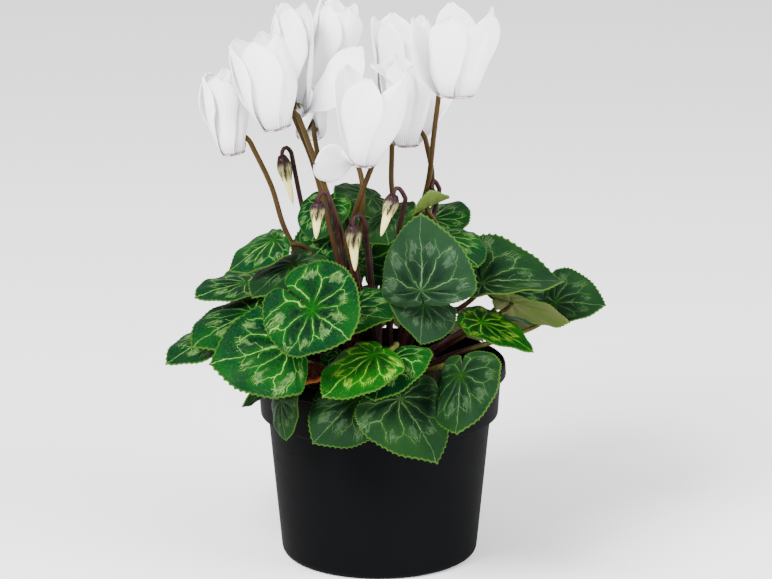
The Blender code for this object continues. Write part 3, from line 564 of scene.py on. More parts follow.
class LeafTone(NamedTuple):
    """The colours of one kind of blade, and how much silver it has."""

    name: str
    deep: tuple
    outer: tuple
    bright: tuple
    silver: tuple
    vein: tuple
    silvering: float
    glow: float


LEAF_TONES = {
    "deep": LeafTone("leaf_deep", (0.0004, 0.0070, 0.0030), (0.0007, 0.0215, 0.0050),
                     (0.0035, 0.065, 0.0012), (0.062, 0.128, 0.036), (0.14, 0.27, 0.066), 0.34, 0.40),
    "fresh": LeafTone("leaf_fresh", (0.0006, 0.0150, 0.0036), (0.0012, 0.048, 0.0024), (0.012, 0.160, 0.0016),
                      (0.130, 0.260, 0.016), (0.25, 0.43, 0.045), 0.30, 0.32),
    "misty": LeafTone("leaf_misty", (0.0030, 0.0100, 0.0052), (0.0100, 0.0300, 0.0125), (0.012, 0.046, 0.008),
                      (0.032, 0.060, 0.032), (0.075, 0.115, 0.065), 0.26, 0.22),
    "grey": LeafTone("leaf_grey", (0.0022, 0.0092, 0.0044), (0.0048, 0.0215, 0.0058), (0.010, 0.044, 0.003),
                     (0.026, 0.054, 0.022), (0.058, 0.100, 0.044), 0.26, 0.22),
}


def near(finish, distance, width, soft):
    """1 within the width of a line, fading to 0 over the soft distance."""
    return finish.step(distance, width + soft, width)


class BladeSpot(NamedTuple):
    """Where a shaded point is on its blade, in leaf sizes from the stalk, and the noises that vary it."""

    drifted: Sock
    x: Sock
    y: Sock
    far: Sock
    turn: Sock
    side: Sock
    middle: Sock
    fork: Sock
    some: Sock
    other: Sock


def blade_spot(finish):
    """Reads the blade's flat coordinates, drifting a little so that no vein runs straight."""
    place = finish.place()
    drift = finish.noise(place, 85.0, 4.0, 0.62, "Color")
    drifted = finish.node("ShaderNodeVectorMath", {"operation": "MULTIPLY_ADD"},
                          {0: drift, 1: (VEIN_DRIFT, VEIN_DRIFT, 0.0), 2: finish.uv("blade")})
    x, y = ((number - 0.5 - 0.5 * VEIN_DRIFT) / UV_SPAN for number in finish.split(drifted)[:2])
    x = abs(x)
    far = finish.maths("SQRT", x * x + y * y)
    turn = finish.maths("ARCTAN2", x, y)
    turn = turn + VEIN_BEND * far * finish.maths("SINE", turn)
    turn = turn + 0.5 * (finish.noise(place, 26.0, 0.0) - 0.5) * finish.step(turn, 0.2, 1.0)
    share = finish.maths("FRACT", turn / VEIN_SECTOR)
    side = finish.maths("MINIMUM", share, 1 - share)
    middle = finish.step(turn, 0.36, 0.30)
    some = finish.noise(place, 60.0, 1.0)
    other = finish.noise(place, 47.0, 0.0)
    return BladeSpot(drifted, x, y, far, turn, side, middle, FORK_LEAST + FORK_SPREAD * some, some, other)


def off_main_vein(finish, spot):
    """How far it is to the nearest main vein or to a branch of its fork."""
    branch = finish.step(spot.far, spot.fork, spot.fork + 0.15) * (0.20 + 0.30 * spot.other)
    return abs(spot.side - branch * (1 - spot.middle)) * VEIN_SECTOR * spot.far


def main_veins(finish, spot):
    """The middle vein, which reaches the tip, and the others as far as their forks do."""
    thin = finish.step(spot.far, 0.50, 0.12)
    width = VEIN_WIDTH + VEIN_SWELL * thin + VEIN_SWELL * spot.middle
    ends = finish.maths("MAXIMUM", finish.step(spot.far, spot.fork + 0.19, spot.fork + 0.15), spot.middle)
    return near(finish, off_main_vein(finish, spot), width, VEIN_SOFT) * ends


def side_veins(finish, spot):
    """Limbs off the middle vein, arcs that join the forks, and short spurs past the arcs."""
    far, side, middle = spot.far, spot.side, spot.middle
    limbs = finish.maths("MINIMUM", abs(spot.y - 0.85 * spot.x - 0.20), abs(spot.y - 0.75 * spot.x - 0.345))
    limbs = near(finish, limbs, TWIG_WIDTH, VEIN_SOFT) * finish.step(spot.x, 0.115, 0.085) * middle
    ring = spot.fork + 0.09 + 0.10 * (side - 0.25) + 0.10 * (spot.other - 0.5)
    arcs = near(finish, abs(far - ring), TWIG_WIDTH, VEIN_SOFT) * finish.step(side, 0.14, 0.22)
    arcs = arcs * finish.step(spot.other, 0.46, 0.54) * (1 - middle)
    spurs = near(finish, abs(abs(side - 0.37) - 0.09) * VEIN_SECTOR * far, 2 * TWIG_WIDTH, 0.004)
    spurs = spurs * finish.step(far, ring - 0.005, ring + 0.005) * finish.step(far, ring + 0.07, ring + 0.03)
    most = finish.maths("MAXIMUM", finish.maths("MAXIMUM", arcs * 0.8, spurs * 0.7), limbs)
    return most * finish.step(spot.turn, 2.9, 2.75)


def all_veins(finish, spot):
    return finish.maths("MAXIMUM", main_veins(finish, spot), side_veins(finish, spot))


def vein_net(finish, spot):
    """The fine net between the veins."""
    return near(finish, finish.cells(spot.drifted, 34.0, "DISTANCE_TO_EDGE"), 0.012, 0.05)


def frayed(finish):
    return finish.noise(finish.place(), 360.0, 3.0, 0.7)


def silver_ring(finish, spot, fray):
    """Ragged islands between the veins, in a ring past the forks."""
    patches = finish.noise(finish.place(), 105.0, 1.0)
    rays = finish.node("ShaderNodeCombineXYZ", {},
                       {0: spot.turn * 17.0, 1: spot.far * 6.0, 2: spot.other * 9.0})
    rays = finish.noise(rays, 1.0, 2.0)
    across = (0.5 - spot.side) / 0.29
    outward = (spot.far - spot.fork - 0.080 - 0.20 * (rays - 0.5)) / 0.085
    blob = finish.maths("SQRT", across * across + outward * outward)
    return 1.15 - blob + 1.2 * (fray - 0.5) + 2.0 * (patches - 0.5)


def leaf_top(tone):
    """The waxy upper side: dark centre, silver islands in a ring, pale forked veins and a bright margin."""
    finish = Finish(tone.name)
    spot = blade_spot(finish)
    far, some = spot.far, spot.some
    veins, net, fray = all_veins(finish, spot), vein_net(finish, spot), frayed(finish)
    shade = finish.mix(tone.deep, tone.outer, finish.step(far, 0.14, 0.42) * (0.6 + 0.8 * (some - 0.3)))
    glow = finish.step(finish.noise(finish.place(), 34.0, 1.0), 0.47, 0.62)
    shade = finish.mix(shade, tone.bright, glow * tone.glow * finish.step(far, 0.06, 0.30) * 0.8)
    halo = near(finish, off_main_vein(finish, spot), 0.006, 0.045) * finish.step(far, 0.52, 0.40)
    shade = finish.mix(shade, tone.bright, halo * (0.25 + 0.5 * tone.glow))
    grit = finish.step(finish.noise(finish.place(), 620.0, 3.0, 0.65), 0.32, 0.62)
    silver = silver_ring(finish, spot, fray)
    islands = finish.step(silver, tone.silvering, tone.silvering + 0.5) * (0.22 + 0.66 * grit)
    shade = finish.mix(shade, tone.silver, islands)
    shade = finish.mix(shade, tone.silver, net * 0.09)
    specks = finish.step(finish.cells(finish.place(), 1250.0), 0.16, 0.10) * finish.step(far, 0.2, 0.4)
    shade = finish.mix(shade, tone.vein, specks * finish.step(fray, 0.5, 0.62) * 0.7)
    line = finish.mix(tone.bright, tone.vein, finish.step(far + 0.6 * (some - 0.5), 0.0, 0.20))
    shade = finish.mix(shade, line, veins * (0.45 + 0.8 * some))
    edge = finish.split(finish.uv("rim"))[1]
    shade = finish.mix(shade, (0.05, 0.13, 0.010), finish.step(edge, 0.965, 0.995) * 0.5)
    rough = 0.44 + 0.10 * islands + 0.10 * fray
    normal = finish.bump(0.5 * fray - 0.8 * veins - 0.25 * net, 0.00022)
    return finish.wear(Base_Color=shade, Roughness=rough, Normal=normal, Specular_IOR_Level=LOW_SHINE)


def leaf_under(name, plain, flushed, vein):
    """The matt underside: one green with a flush of another colour, and raised veins."""
    finish = Finish(name)
    spot = blade_spot(finish)
    veins, net = all_veins(finish, spot), vein_net(finish, spot)
    shade = finish.mix(plain, flushed, finish.step(spot.some, 0.42, 0.62) * 0.6)
    shade = finish.mix(shade, flushed, net * 0.18)
    shade = finish.mix(shade, vein, veins * 0.6)
    normal = finish.bump(0.3 * frayed(finish) + 0.9 * veins + 0.2 * net, 0.0003)
    return finish.wear(Base_Color=shade, Roughness=0.62, Normal=normal, Specular_IOR_Level=LOW_SHINE)


def leaf_edge():
    """The cut edge of a blade, yellow-green."""
    finish = Finish("leaf_edge")
    fleck = finish.noise(finish.place(), 500.0, 2.0)
    shade = finish.mix((0.02, 0.06, 0.005), (0.055, 0.115, 0.012), fleck)
    return finish.wear(Base_Color=shade, Roughness=0.5, Specular_IOR_Level=0.05)


def withered_leaf():
    """A dry brown blade with darker veins and a curled orange-brown edge."""
    finish = Finish("leaf_withered")
    spot = blade_spot(finish)
    veins, net, fray = all_veins(finish, spot), vein_net(finish, spot), frayed(finish)
    edge = finish.split(finish.uv("rim"))[1]
    shade = finish.mix((0.008, 0.003, 0.002), (0.040, 0.012, 0.005), finish.step(fray, 0.35, 0.68))
    shade = finish.mix(shade, (0.22, 0.065, 0.018), finish.step(edge + 0.5 * (spot.some - 0.5), 0.78, 0.97))
    shade = finish.mix(shade, (0.010, 0.004, 0.002), 0.5 * veins + 0.3 * net)
    normal = finish.bump(fray - 0.8 * veins, 0.0006)
    return finish.wear(Base_Color=shade, Roughness=0.78, Normal=normal, Specular_IOR_Level=0.03)


def petal_white(settings):
    """Soft white with fine length-wise ribs, painted grey-lilac shade by the mouth, and brown-purple ribs
    where it leaves the mouth.
    """
    finish = Finish("petal_white")
    across, along, _ = finish.split(finish.uv("petal"))
    place = finish.place()
    cloud = finish.noise(place, 90.0, 3.0)
    ribs = finish.maths("SINE", across * 70.0 + finish.noise(place, 160.0, 1.0) * 3.0)
    shade = finish.mix(tuple(settings.white), (0.80, 0.80, 0.83), finish.step(cloud, 0.4, 0.8) * 0.6)
    # Painted shade: grey-lilac towards the mouth, where the petals' bases overlap and shade each other
    shade = finish.mix(shade, (0.62, 0.60, 0.66), finish.step(along, 0.34, 0.02) * 0.45)
    ribbed = finish.step(ribs, 0.2, 1.0) * finish.step(along, 0.24, 0.03)
    shade = finish.mix(shade, tuple(settings.blush), ribbed * 0.75)
    shade = finish.mix(shade, tuple(settings.blush), finish.step(along, 0.05, 0.015) * 0.85)
    normal = finish.bump(ribs * 0.25 + finish.noise(place, 700.0, 2.0) * 0.5, 0.00012)
    return finish.wear(Base_Color=shade, Roughness=0.55, Normal=normal, Subsurface_Weight=0.12,
                       Subsurface_Radius=(0.004, 0.004, 0.004), Subsurface_Scale=0.5)


def pollen():
    """The anthers inside the mouth."""
    finish = Finish("pollen")
    fleck = finish.noise(finish.place(), 900.0, 3.0)
    shade = finish.mix((0.42, 0.22, 0.03), (0.70, 0.48, 0.10), fleck)
    return finish.wear(Base_Color=shade, Roughness=0.7, Normal=finish.bump(fleck, 0.0002))


def bud_cream():
    """Furled petals: cream, greener near the calyx, with faint lines down the furls."""
    finish = Finish("bud_cream")
    along = finish.split(finish.uv("petal"))[1]
    streak = finish.noise(finish.stretched(finish.uv("petal"), (22.0, 1.6, 1.0)), 1.0, 3.0)
    shade = finish.mix((0.38, 0.38, 0.10), (0.74, 0.66, 0.24), finish.step(along, 0.30, 0.60))
    shade = finish.mix(shade, (0.50, 0.46, 0.18), finish.step(streak, 0.5, 0.75) * 0.55)
    return finish.wear(Base_Color=shade, Roughness=0.5, Normal=finish.bump(streak, 0.00025))


def calyx_skin():
    """Sepals: dark purple-brown ribs over olive cream."""
    finish = Finish("calyx")
    across, along, _ = finish.split(finish.uv("petal"))
    streak = finish.noise(finish.stretched(finish.uv("petal"), (9.0, 2.2, 1.0)), 1.0, 3.0)
    fleck = finish.noise(finish.place(), 800.0, 3.0)
    away = abs(across - 0.5) * 2.0
    pale = finish.step(streak + 0.35 * away + 0.25 * (fleck - 0.5), 0.58, 0.74)
    pale = pale * finish.step(along, 0.22, 0.55)
    shade = finish.mix((0.012, 0.0034, 0.0045), (0.32, 0.32, 0.13), pale * 0.85)
    return finish.wear(Base_Color=shade, Roughness=0.5, Normal=finish.bump(fleck, 0.00015),
                       Specular_IOR_Level=0.12)


def stalk_skin(settings):
    """Fleshy stalks: maroon in the shade of the crown and at the hooks, olive between, pale green outside."""
    finish = Finish("stalk_skin")
    x, y, z = finish.split(finish.place())
    out = finish.maths("SQRT", x * x + y * y) / MM
    high = z / MM
    streak = finish.streaks()
    fleck = finish.noise(finish.place(), 1400.0, 2.0)
    shade = finish.mix(tuple(settings.maroon), tuple(settings.olive), finish.step(high, 120.0, 185.0))
    shade = finish.mix(shade, tuple(settings.maroon), finish.step(streak, 0.5, 0.7) * 0.45)
    shade = finish.mix(shade, tuple(settings.maroon), finish.step(fleck, 0.60, 0.68) * 0.5)
    outside = finish.step(out, 38.0, 58.0) * finish.step(high, 165.0, 140.0)
    pink = finish.mix(tuple(settings.pale), (0.055, 0.024, 0.008), finish.step(streak, 0.42, 0.6) * 0.6)
    shade = finish.mix(shade, pink, outside)
    normal = finish.bump(streak + 0.4 * fleck, 0.00015)
    return finish.wear(Base_Color=shade, Roughness=0.45, Normal=normal, Specular_IOR_Level=0.10)


def bud_stalk_skin():
    """The dark purple-brown stalks of the buds, with paler flecks."""
    finish = Finish("bud_stalk_skin")
    fleck = finish.noise(finish.place(), 900.0, 3.0)
    ruddy = finish.step(finish.streaks() + 0.4 * fleck, 0.50, 0.95)
    shade = finish.mix((0.010, 0.0032, 0.0042), (0.034, 0.0110, 0.0095), ruddy)
    return finish.wear(Base_Color=shade, Roughness=0.5, Normal=finish.bump(fleck, 0.00015),
                       Specular_IOR_Level=0.10)


def cork():
    """The tuber's brown corky skin."""
    finish = Finish("cork")
    place = finish.place()
    clods = finish.noise(place, 260.0, 5.0, 0.65)
    cracks = finish.cells(place, 230.0, "DISTANCE_TO_EDGE")
    shade = finish.mix((0.035, 0.020, 0.012), (0.13, 0.080, 0.045), clods)
    shade = finish.mix(shade, (0.015, 0.009, 0.006), finish.step(cracks, 0.07, 0.0))
    normal = finish.bump(clods + finish.step(cracks, 0.0, 0.1), 0.0008)
    return finish.wear(Base_Color=shade, Roughness=0.9, Normal=normal)


# Meshes


def spread(value, table, reach):
    """The table's values at an array, with its corners rounded over the reach."""
    places, heights = zip(*table)
    total = 0.0
    for offset, weight in ((-1.0, 1), (-0.5, 2), (0.0, 3), (0.5, 2), (1.0, 1)):
        total = total + weight * np.interp(value + offset * reach, places, heights)
    return total / 9.0


class Sheet:
    """Points, faces and flat coordinates gathered for one mesh."""

    def __init__(self):
        self.points = []
        self.faces = []
        self.kinds = []
        self.uvs = []
        self.count = 0

    def add(self, points, faces, uvs, kind=0):
        """Adds a patch. Each point has one flat coordinate."""
        start = self.count
        self.points.append(np.asarray(points, float))
        self.uvs.append(np.asarray(uvs, float))
        self.faces += [tuple(start + corner for corner in face) for face in faces]
        self.kinds += [kind] * len(faces)
        self.count += len(points)

    def mesh(self, name, materials, uv_names):
        """The mesh. A point's flat coordinates hold two numbers for each map."""
        made = bpy.data.meshes.new(name)
        made.from_pydata((np.concatenate(self.points) * MM).tolist(), [], self.faces)
        for material in materials:
            made.materials.append(material)
        made.polygons.foreach_set("material_index", self.kinds)
        corners = np.zeros(len(made.loops), int)
        made.loops.foreach_get("vertex_index", corners)
        flat = np.concatenate(self.uvs)
        for i, uv_name in enumerate(uv_names):
            layer = made.uv_layers.new(name=uv_name)
            layer.data.foreach_set("uv", flat[corners, 2 * i:2 * i + 2].ravel())
        made.validate()
        made.shade_smooth()
        return made


def grid_faces(rows, columns, closed=False):
    faces = []
    for row in range(rows - 1):
        for column in range(columns if closed else columns - 1):
            following = (column + 1) % columns
            a, b = row * columns + column, row * columns + following
            faces.append((a, b, b + columns, a + columns))
    return faces


def capped_faces(rows, columns):
    """A closed grid's faces, with one more over each end."""
    first = tuple(range(columns))[::-1]
    last = tuple(range((rows - 1) * columns, rows * columns))
    return grid_faces(rows, columns, closed=True) + [first, last]


def ring_turns(count):
    return [2 * math.pi * k / count for k in range(count)]


def polar(radius, turn, height):
    return radius * math.cos(turn), radius * math.sin(turn), height


def linked(name, data):
    made = bpy.data.objects.new(name, data)
    bpy.context.scene.collection.objects.link(made)
    return made


def show(name, mesh, slot, *stands_for):
    """The mesh as a piece of the plant, in place of the solids it stands for."""
    made = linked(name, mesh)
    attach(made, BODY)
    if stands_for:
        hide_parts(*stands_for)
    return made


def thicken(thing, thickness, offset, under=0, rim=0):
    solid = thing.modifiers.new("thickness", "SOLIDIFY")
    solid.thickness = thickness
    solid.offset = offset
    solid.material_offset = under
    solid.material_offset_rim = rim


def turned_mesh(name, profile, steps, material):
    """A profile of (radius, height) turned about z. Its outer side runs from top to bottom."""
    mesh = bpy.data.meshes.new(name)
    edges = [(i, i + 1) for i in range(len(profile) - 1)]
    mesh.from_pydata([(MM * r, 0.0, MM * z) for r, z in profile], edges, [])
    mesh.materials.append(material)
    made = linked(name, mesh)
    screw = made.modifiers.new("turn", "SCREW")
    screw.steps = screw.render_steps = steps
    screw.use_merge_vertices = True
    screw.merge_threshold = 0.00001
    return made


def settled(thing):
    """Applies the object's modifiers and gives its mesh. The object is removed."""
    bpy.context.view_layer.update()
    mesh = bpy.data.meshes.new_from_object(thing.evaluated_get(bpy.context.evaluated_depsgraph_get()))
    bpy.data.objects.remove(thing, do_unlink=True)
    return mesh


# Pot


def rounded(points, radii, steps=4):
    """The points with each corner replaced by an arc-like curve of its radius."""
    made = []
    for i, (point, radius) in enumerate(zip(points, radii)):
        here = np.array(point, float)
        if radius <= 0 or i in (0, len(points) - 1):
            made.append(tuple(here))
            continue
        ends = []
        for neighbour in (points[i - 1], points[i + 1]):
            way = np.array(neighbour, float) - here
            far = np.linalg.norm(way)
            ends.append(here + way / far * min(radius, 0.45 * far))
        for k in range(steps + 1):
            t = k / steps
            made.append(tuple((1 - t) ** 2 * ends[0] + 2 * t * (1 - t) * here + t * t * ends[1]))
    return made


def pot_profile():
    lip_bottom = POT_TOP - LIP_HEIGHT
    step = COLLAR_BOTTOM - STEP_HEIGHT
    shoulder = COLLAR_RADIUS - COLLAR_TAPER
    points = [
        (0.0, POT_FLOOR, 0.0),
        (BASE_RADIUS - WALL + 0.1, POT_FLOOR, 1.5),
        (BODY_RADIUS - WALL - 0.1, step - 1.5, 1.2),
        (shoulder - WALL, COLLAR_BOTTOM, 1.2),
        (COLLAR_RADIUS - WALL, lip_bottom, 1.0),
        (RIM_RADIUS - LIP_WIDTH, POT_TOP - 1.0, 0.6),
        (RIM_RADIUS - 3.2, POT_TOP, 0.8),
        (RIM_RADIUS - 0.4, POT_TOP, LIP_ROUND),
        (RIM_RADIUS, lip_bottom + 0.4, 0.5),
        (RIM_RADIUS - 0.9, lip_bottom, 0.5),
        (COLLAR_RADIUS, lip_bottom, 0.6),
        (shoulder, COLLAR_BOTTOM, 0.5),
        (BODY_RADIUS, step, 0.7),
        (BASE_RADIUS + 0.3, BASE_ROUND, BASE_ROUND),
        (BASE_RADIUS - BASE_ROUND, 0.0, BASE_ROUND),
        (0.0, 0.0, 0.0),
    ]
    return rounded([(r, z) for r, z, _ in points], [size for _, _, size in points])


def make_pot(settings):
    pot = turned_mesh("pot_shell", pot_profile(), settings.steps, black_plastic(settings))
    cutters = bpy.data.meshes.new("drain_cutters")
    work = bmesh.new()
    for turn in ring_turns(DRAIN_HOLES):
        spot = Matrix.Translation(polar(MM * DRAIN_CIRCLE, turn, 0.0))
        bmesh.ops.create_cone(work, cap_ends=True, segments=32, radius1=MM * DRAIN_RADIUS,
                              radius2=MM * DRAIN_RADIUS, depth=MM * 4 * POT_FLOOR, matrix=spot)
    work.to_mesh(cutters)
    work.free()
    cutter = linked("drain_cutters", cutters)
    cut = pot.modifiers.new("drain", "BOOLEAN")
    cut.operation = "DIFFERENCE"
    cut.object = cutter
    mesh = settled(pot)
    bpy.data.objects.remove(cutter, do_unlink=True)
    mesh.shade_smooth()
    mesh.set_sharp_from_angle(angle=SHARP_FROM)
    show("nursery_pot", mesh, "black_plastic", "pot")


# Soil


def soil_height(x, y):
    """The compost's surface: long swells as in its solid, with clods on them."""
    swell = SOIL_BUMP * (math.sin(0.31 * x + 0.9) * math.cos(0.27 * y) + 0.4 * math.sin(0.7 * y + 0.2 * x))
    clods = 0.9 * noise.fractal(Vector((0.35 * x, 0.35 * y, 3.0)), 0.8, 2.0, 4)
    return SOIL_TOP + swell + clods


def on_soil(radius, turn, lift=0.0):
    x, y, _ = polar(radius, turn, 0.0)
    return x, y, soil_height(x, y) + lift


def crumb_shape():
    work = bmesh.new()
    bmesh.ops.create_icosphere(work, subdivisions=2, radius=1.0)
    points = np.array([v.co for v in work.verts])
    faces = [tuple(v.index for v in face.verts) for face in work.faces]
    work.free()
    return points, faces


def make_soil(settings):
    """The bed, out to its edge and down beside the wall, and loose crumbs on it."""
    radii = [SOIL_EDGE * (ring + 0.5) / (SOIL_RINGS - 0.5) for ring in range(SOIL_RINGS)]
    points = [on_soil(radius, turn) for radius in radii for turn in ring_turns(SOIL_SIDES)]
    points += [polar(SOIL_EDGE - 2.0, turn, COLLAR_BOTTOM) for turn in ring_turns(SOIL_SIDES)]
    sheet = Sheet()
    sheet.add(points, capped_faces(SOIL_RINGS + 1, SOIL_SIDES), np.zeros((len(points), 2)))
    draw = np.random.default_rng(CRUMB_SEED)
    crumb, faces = crumb_shape()
    for _ in range(settings.grains):
        away, turn = draw.uniform(TUBER_RADIUS + 2.0, SOIL_EDGE - 1.5), draw.uniform(0, 2 * math.pi)
        size = draw.uniform(*CRUMB_SIZES)
        stretch = size * draw.uniform(0.6, 1.0, 3)
        lumps = crumb * stretch * draw.uniform(0.85, 1.15, (len(crumb), 1))
        sheet.add(lumps + on_soil(away, turn, 0.3 * size), faces, np.zeros((len(lumps), 2)))
    show("compost", sheet.mesh("compost", [compost(settings)], ["flat"]), "potting_soil", "soil")


# Leaf blades


def outline_radius(turn):
    """The blade's edge, as a share of its size, at angles from the tip in degrees."""
    turn = np.abs((turn + 180.0) % 360.0 - 180.0)
    return spread(turn, HALF_OUTLINE, np.minimum(OUTLINE_ROUND, np.minimum(0.6 * turn, 0.4 * (181.0 - turn))))


def leaf_axes(leaf):
    """Across, along and up: the tip points along the aim and pitch, and the right side rolls down."""
    aim, pitch, roll = (math.radians(a) for a in (leaf.aim, leaf.pitch, leaf.roll))
    along = Vector(polar(math.cos(pitch), aim, math.sin(pitch)))
    level = along.cross(Vector((0, 0, 1))).normalized()
    up = level.cross(along)
    across = math.cos(roll) * level - math.sin(roll) * up
    return across, along, across.cross(along)


def arc(length, curl, size):
    """A stretch bent down by an even curl: its reach and its drop."""
    turn = np.radians(np.where(curl == 0, 0.001, curl)) / size
    return np.sin(turn * length) / turn, (1.0 - np.cos(turn * length)) / turn


def blade_points(leaf, x, y, raised):
    """Places in space of points of the flat blade, with the stalk at (0, 0) and the tip along y."""
    y = np.where(y < 0, y * leaf.lobes, y)
    reach, side_drop = arc(x, np.where(x > 0, leaf.right, leaf.left), leaf.size)
    ahead, end_drop = arc(y, np.where(y > 0, leaf.droop, leaf.tuck), leaf.size)
    share = np.hypot(x, y) / (0.5 * leaf.size)
    turn = LEAF_WAVES * np.arctan2(x, y) + math.radians(leaf.phase)
    height = leaf.wave * leaf.size * share**2 * np.sin(turn) - side_drop - end_drop + raised
    across, along, up = (np.array(axis) for axis in leaf_axes(leaf))
    return np.array(leaf[:3]) + reach[:, None] * across + ahead[:, None] * along + height[:, None] * up


def make_leaf(number, leaf, settings, materials):
    """One blade: rings of points out to a toothed edge, puffed up a little between its veins."""
    columns = settings.columns
    degrees = np.linspace(-180.0, 180.0, columns, endpoint=False)
    turns = np.radians(degrees)
    edge = leaf.size * outline_radius(degrees)
    wave = np.abs((np.arange(columns) * settings.teeth / columns) % 1.0 - 0.5) * 2.0
    outside = np.interp(np.abs(degrees), NOTCH_FADE, (1.0, 0.0))
    teeth = settings.tooth * leaf.size * (2.0 * wave - 1.0) * outside
    flutter = EDGE_FLUTTER * leaf.size * np.sin(EDGE_FLUTTERS * turns + number) * outside
    x, y, raised = [np.zeros(1)], [np.zeros(1)], [np.zeros(1)]
    flat = [np.array([[0.5, 0.5, 0.5, 0.0]])]
    for share in BLADE_RINGS[1:]:
        radius = edge * share + teeth * max(0.0, (share - 0.9) / 0.1)
        x.append(radius * np.sin(turns))
        y.append(radius * np.cos(turns))
        bent = np.abs(turns) + VEIN_BEND * radius / leaf.size * np.sin(np.abs(turns))
        swell = np.sin(math.pi * (bent / VEIN_SECTOR % 1.0)) ** 2
        raised.append(settings.puff * leaf.size * swell * math.sin(math.pi * share) + flutter * share**4)
        u, v = 0.5 + UV_SPAN * x[-1] / leaf.size, 0.5 + UV_SPAN * y[-1] / leaf.size
        flat.append(np.stack([u, v, degrees / 360.0 + 0.5, np.full(columns, share)], axis=1))
    points = blade_points(leaf, np.concatenate(x), np.concatenate(y), np.concatenate(raised))
    faces = [(0, 1 + (k + 1) % columns, 1 + k) for k in range(columns)]
    faces += [tuple(1 + corner for corner in face)
              for face in grid_faces(len(BLADE_RINGS) - 1, columns, closed=True)]
    sheet = Sheet()
    sheet.add(points, faces, np.concatenate(flat))
    slot = "leaf_withered" if number == WITHERED else "leaf_green"
    name = f"leaf_{number:02d}"
    made = show(f"{name}_blade", sheet.mesh(f"{name}_blade", materials, ["blade", "rim"]), slot, name)
    thicken(made, settings.thickness, -1.0, 1, 2)


def make_leaves(settings):
    tops = {kind: leaf_top(tone) for kind, tone in LEAF_TONES.items()}
    under = leaf_under("leaf_under", (0.026, 0.052, 0.009), (0.060, 0.045, 0.019), (0.070, 0.105, 0.028))
    lit = leaf_under("leaf_under_lit", (0.075, 0.120, 0.022), (0.120, 0.105, 0.050), (0.150, 0.190, 0.055))
    edge, brown = leaf_edge(), withered_leaf()
    for number, leaf in enumerate(LEAVES, 1):
        kind = next((kind for kind, numbers in LEAF_KINDS.items() if number in numbers), "deep")
        below = lit if number in LIT_UNDERSIDES else under
        materials = [brown] * 3 if number == WITHERED else [tops[kind], below, edge]
        make_leaf(number, leaf, settings, materials)


# Flowers


def flower_frame(flower):
    """A matrix that takes the flower's own axis, from its mouth up to its stalk, to its place."""
    aim = math.radians(flower.lean_aim)
    tip = Matrix.Rotation(math.radians(flower.lean), 4, Vector((-math.sin(aim), math.cos(aim), 0.0)))
    return Matrix.Translation(Vector(flower.mouth)) @ tip


def placed(matrix, points):
    """Points through a matrix."""
    matrix = np.array(matrix)
    return np.asarray(points) @ matrix[:3, :3].T + matrix[:3, 3]


def petal_spine(flower, number):
    """Distances out and up of the petal's middle line, from the mouth's edge."""
    lean, _, stretch, curl, _ = flower.special.get(number, PLAIN_PETAL)
    step = flower.length * stretch / SPINE_STEPS
    places, bends = zip((0.0, 0.0), *PETAL_BENDS)
    turns = [PETAL_BASE_TURN] + [flower.flare + lean + bend for bend in bends[1:]]
    turns[-1] += curl
    out, high = [flower.radius - PETAL_ROOT], [PETAL_ROOT]
    for k in range(SPINE_STEPS):
        turn = math.radians(np.interp((k + 0.5) / SPINE_STEPS, places, turns))
        out.append(out[-1] + step * math.sin(turn))
        high.append(high[-1] + step * math.cos(turn))
    return np.array(out), np.array(high)


def petal_points(flower, number, settings, draw):
    """The petal's grid: wound like a shutter's blade, with ribs at its base and a ruffled, nicked tip."""
    rows = 1.0 - (1.0 - np.linspace(0.0, 1.0, settings.rows)) ** 1.35
    t, s = np.meshgrid(rows, np.linspace(-1.0, 1.0, settings.columns), indexing="ij")
    places = np.linspace(0.0, 1.0, SPINE_STEPS + 1)
    out, high = (np.interp(t, places, row) for row in petal_spine(flower, number))
    beside_slot = np.clip(0.5 + 2.0 * s * SLOT_SIDES[number], 0.0, 1.0) * abs(SLOT_SIDES[number])
    share = spread(t, PETAL_FOOT, 0.05)
    half = 0.5 * flower.width * (share + beside_slot * (spread(t, PETAL_WIDTH, 0.05) - share))
    nick = 0.35 * np.sin(9.0 * s + draw.uniform(0, 6)) + 0.25 * np.sin(23.0 * s + draw.uniform(0, 6))
    high = high + nick * np.clip((t - 0.9) / 0.1, 0.0, 1.0)
    ruffle = np.sin(7.0 * t + draw.uniform(0, 6)) * s**2 * np.clip(t / 0.4, 0.0, 1.0)
    ribs = 0.16 * np.cos(4 * math.pi * s) * np.clip(1.0 - t / 0.45, 0.0, 1.0)
    crease = -0.8 * np.exp(-(s / 0.16) ** 2) * np.sin(math.pi * t)
    lean, bend, *_, roll = flower.special.get(number, PLAIN_PETAL)
    roll = math.radians(roll) * np.minimum(1.0, t / ROLL_START)
    steep = math.radians(flower.flare + lean)
    wind = s * half * np.cos(roll) / out
    radius = (out - s * half * np.sin(roll) * math.cos(steep)) * (1.0 + SHUTTER * wind)
    radius += ruffle + ribs + crease
    high = high + s * half * np.sin(roll) * math.sin(steep)
    around = np.radians(flower.side + PETAL_TURNS[number] + bend + PETAL_TWIST * t**2) + wind
    points = np.stack([radius * np.cos(around), radius * np.sin(around), high], axis=-1).reshape(-1, 3)
    flat = np.stack([0.5 + 0.5 * s, t], axis=-1).reshape(-1, 2)
    return placed(flower_frame(flower), points), flat


def lobed_patch(flower, profile, columns, lobes, first):
    """A profile of (radius, height) turned about the flower's axis, with five lobes from the first angle."""
    points, flat = [], []
    for radius, height in profile:
        for turn in ring_turns(columns):
            lobed = radius * (1.0 + lobes * math.cos(5 * (turn - first)))
            points.append(polar(lobed, turn, height))
            flat.append((turn / (2 * math.pi), 0.01 + 0.25 * height / TUBE_HEIGHT))
    faces = [face[::-1] for face in grid_faces(len(profile), columns, closed=True)]
    return placed(flower_frame(flower), points), faces, flat


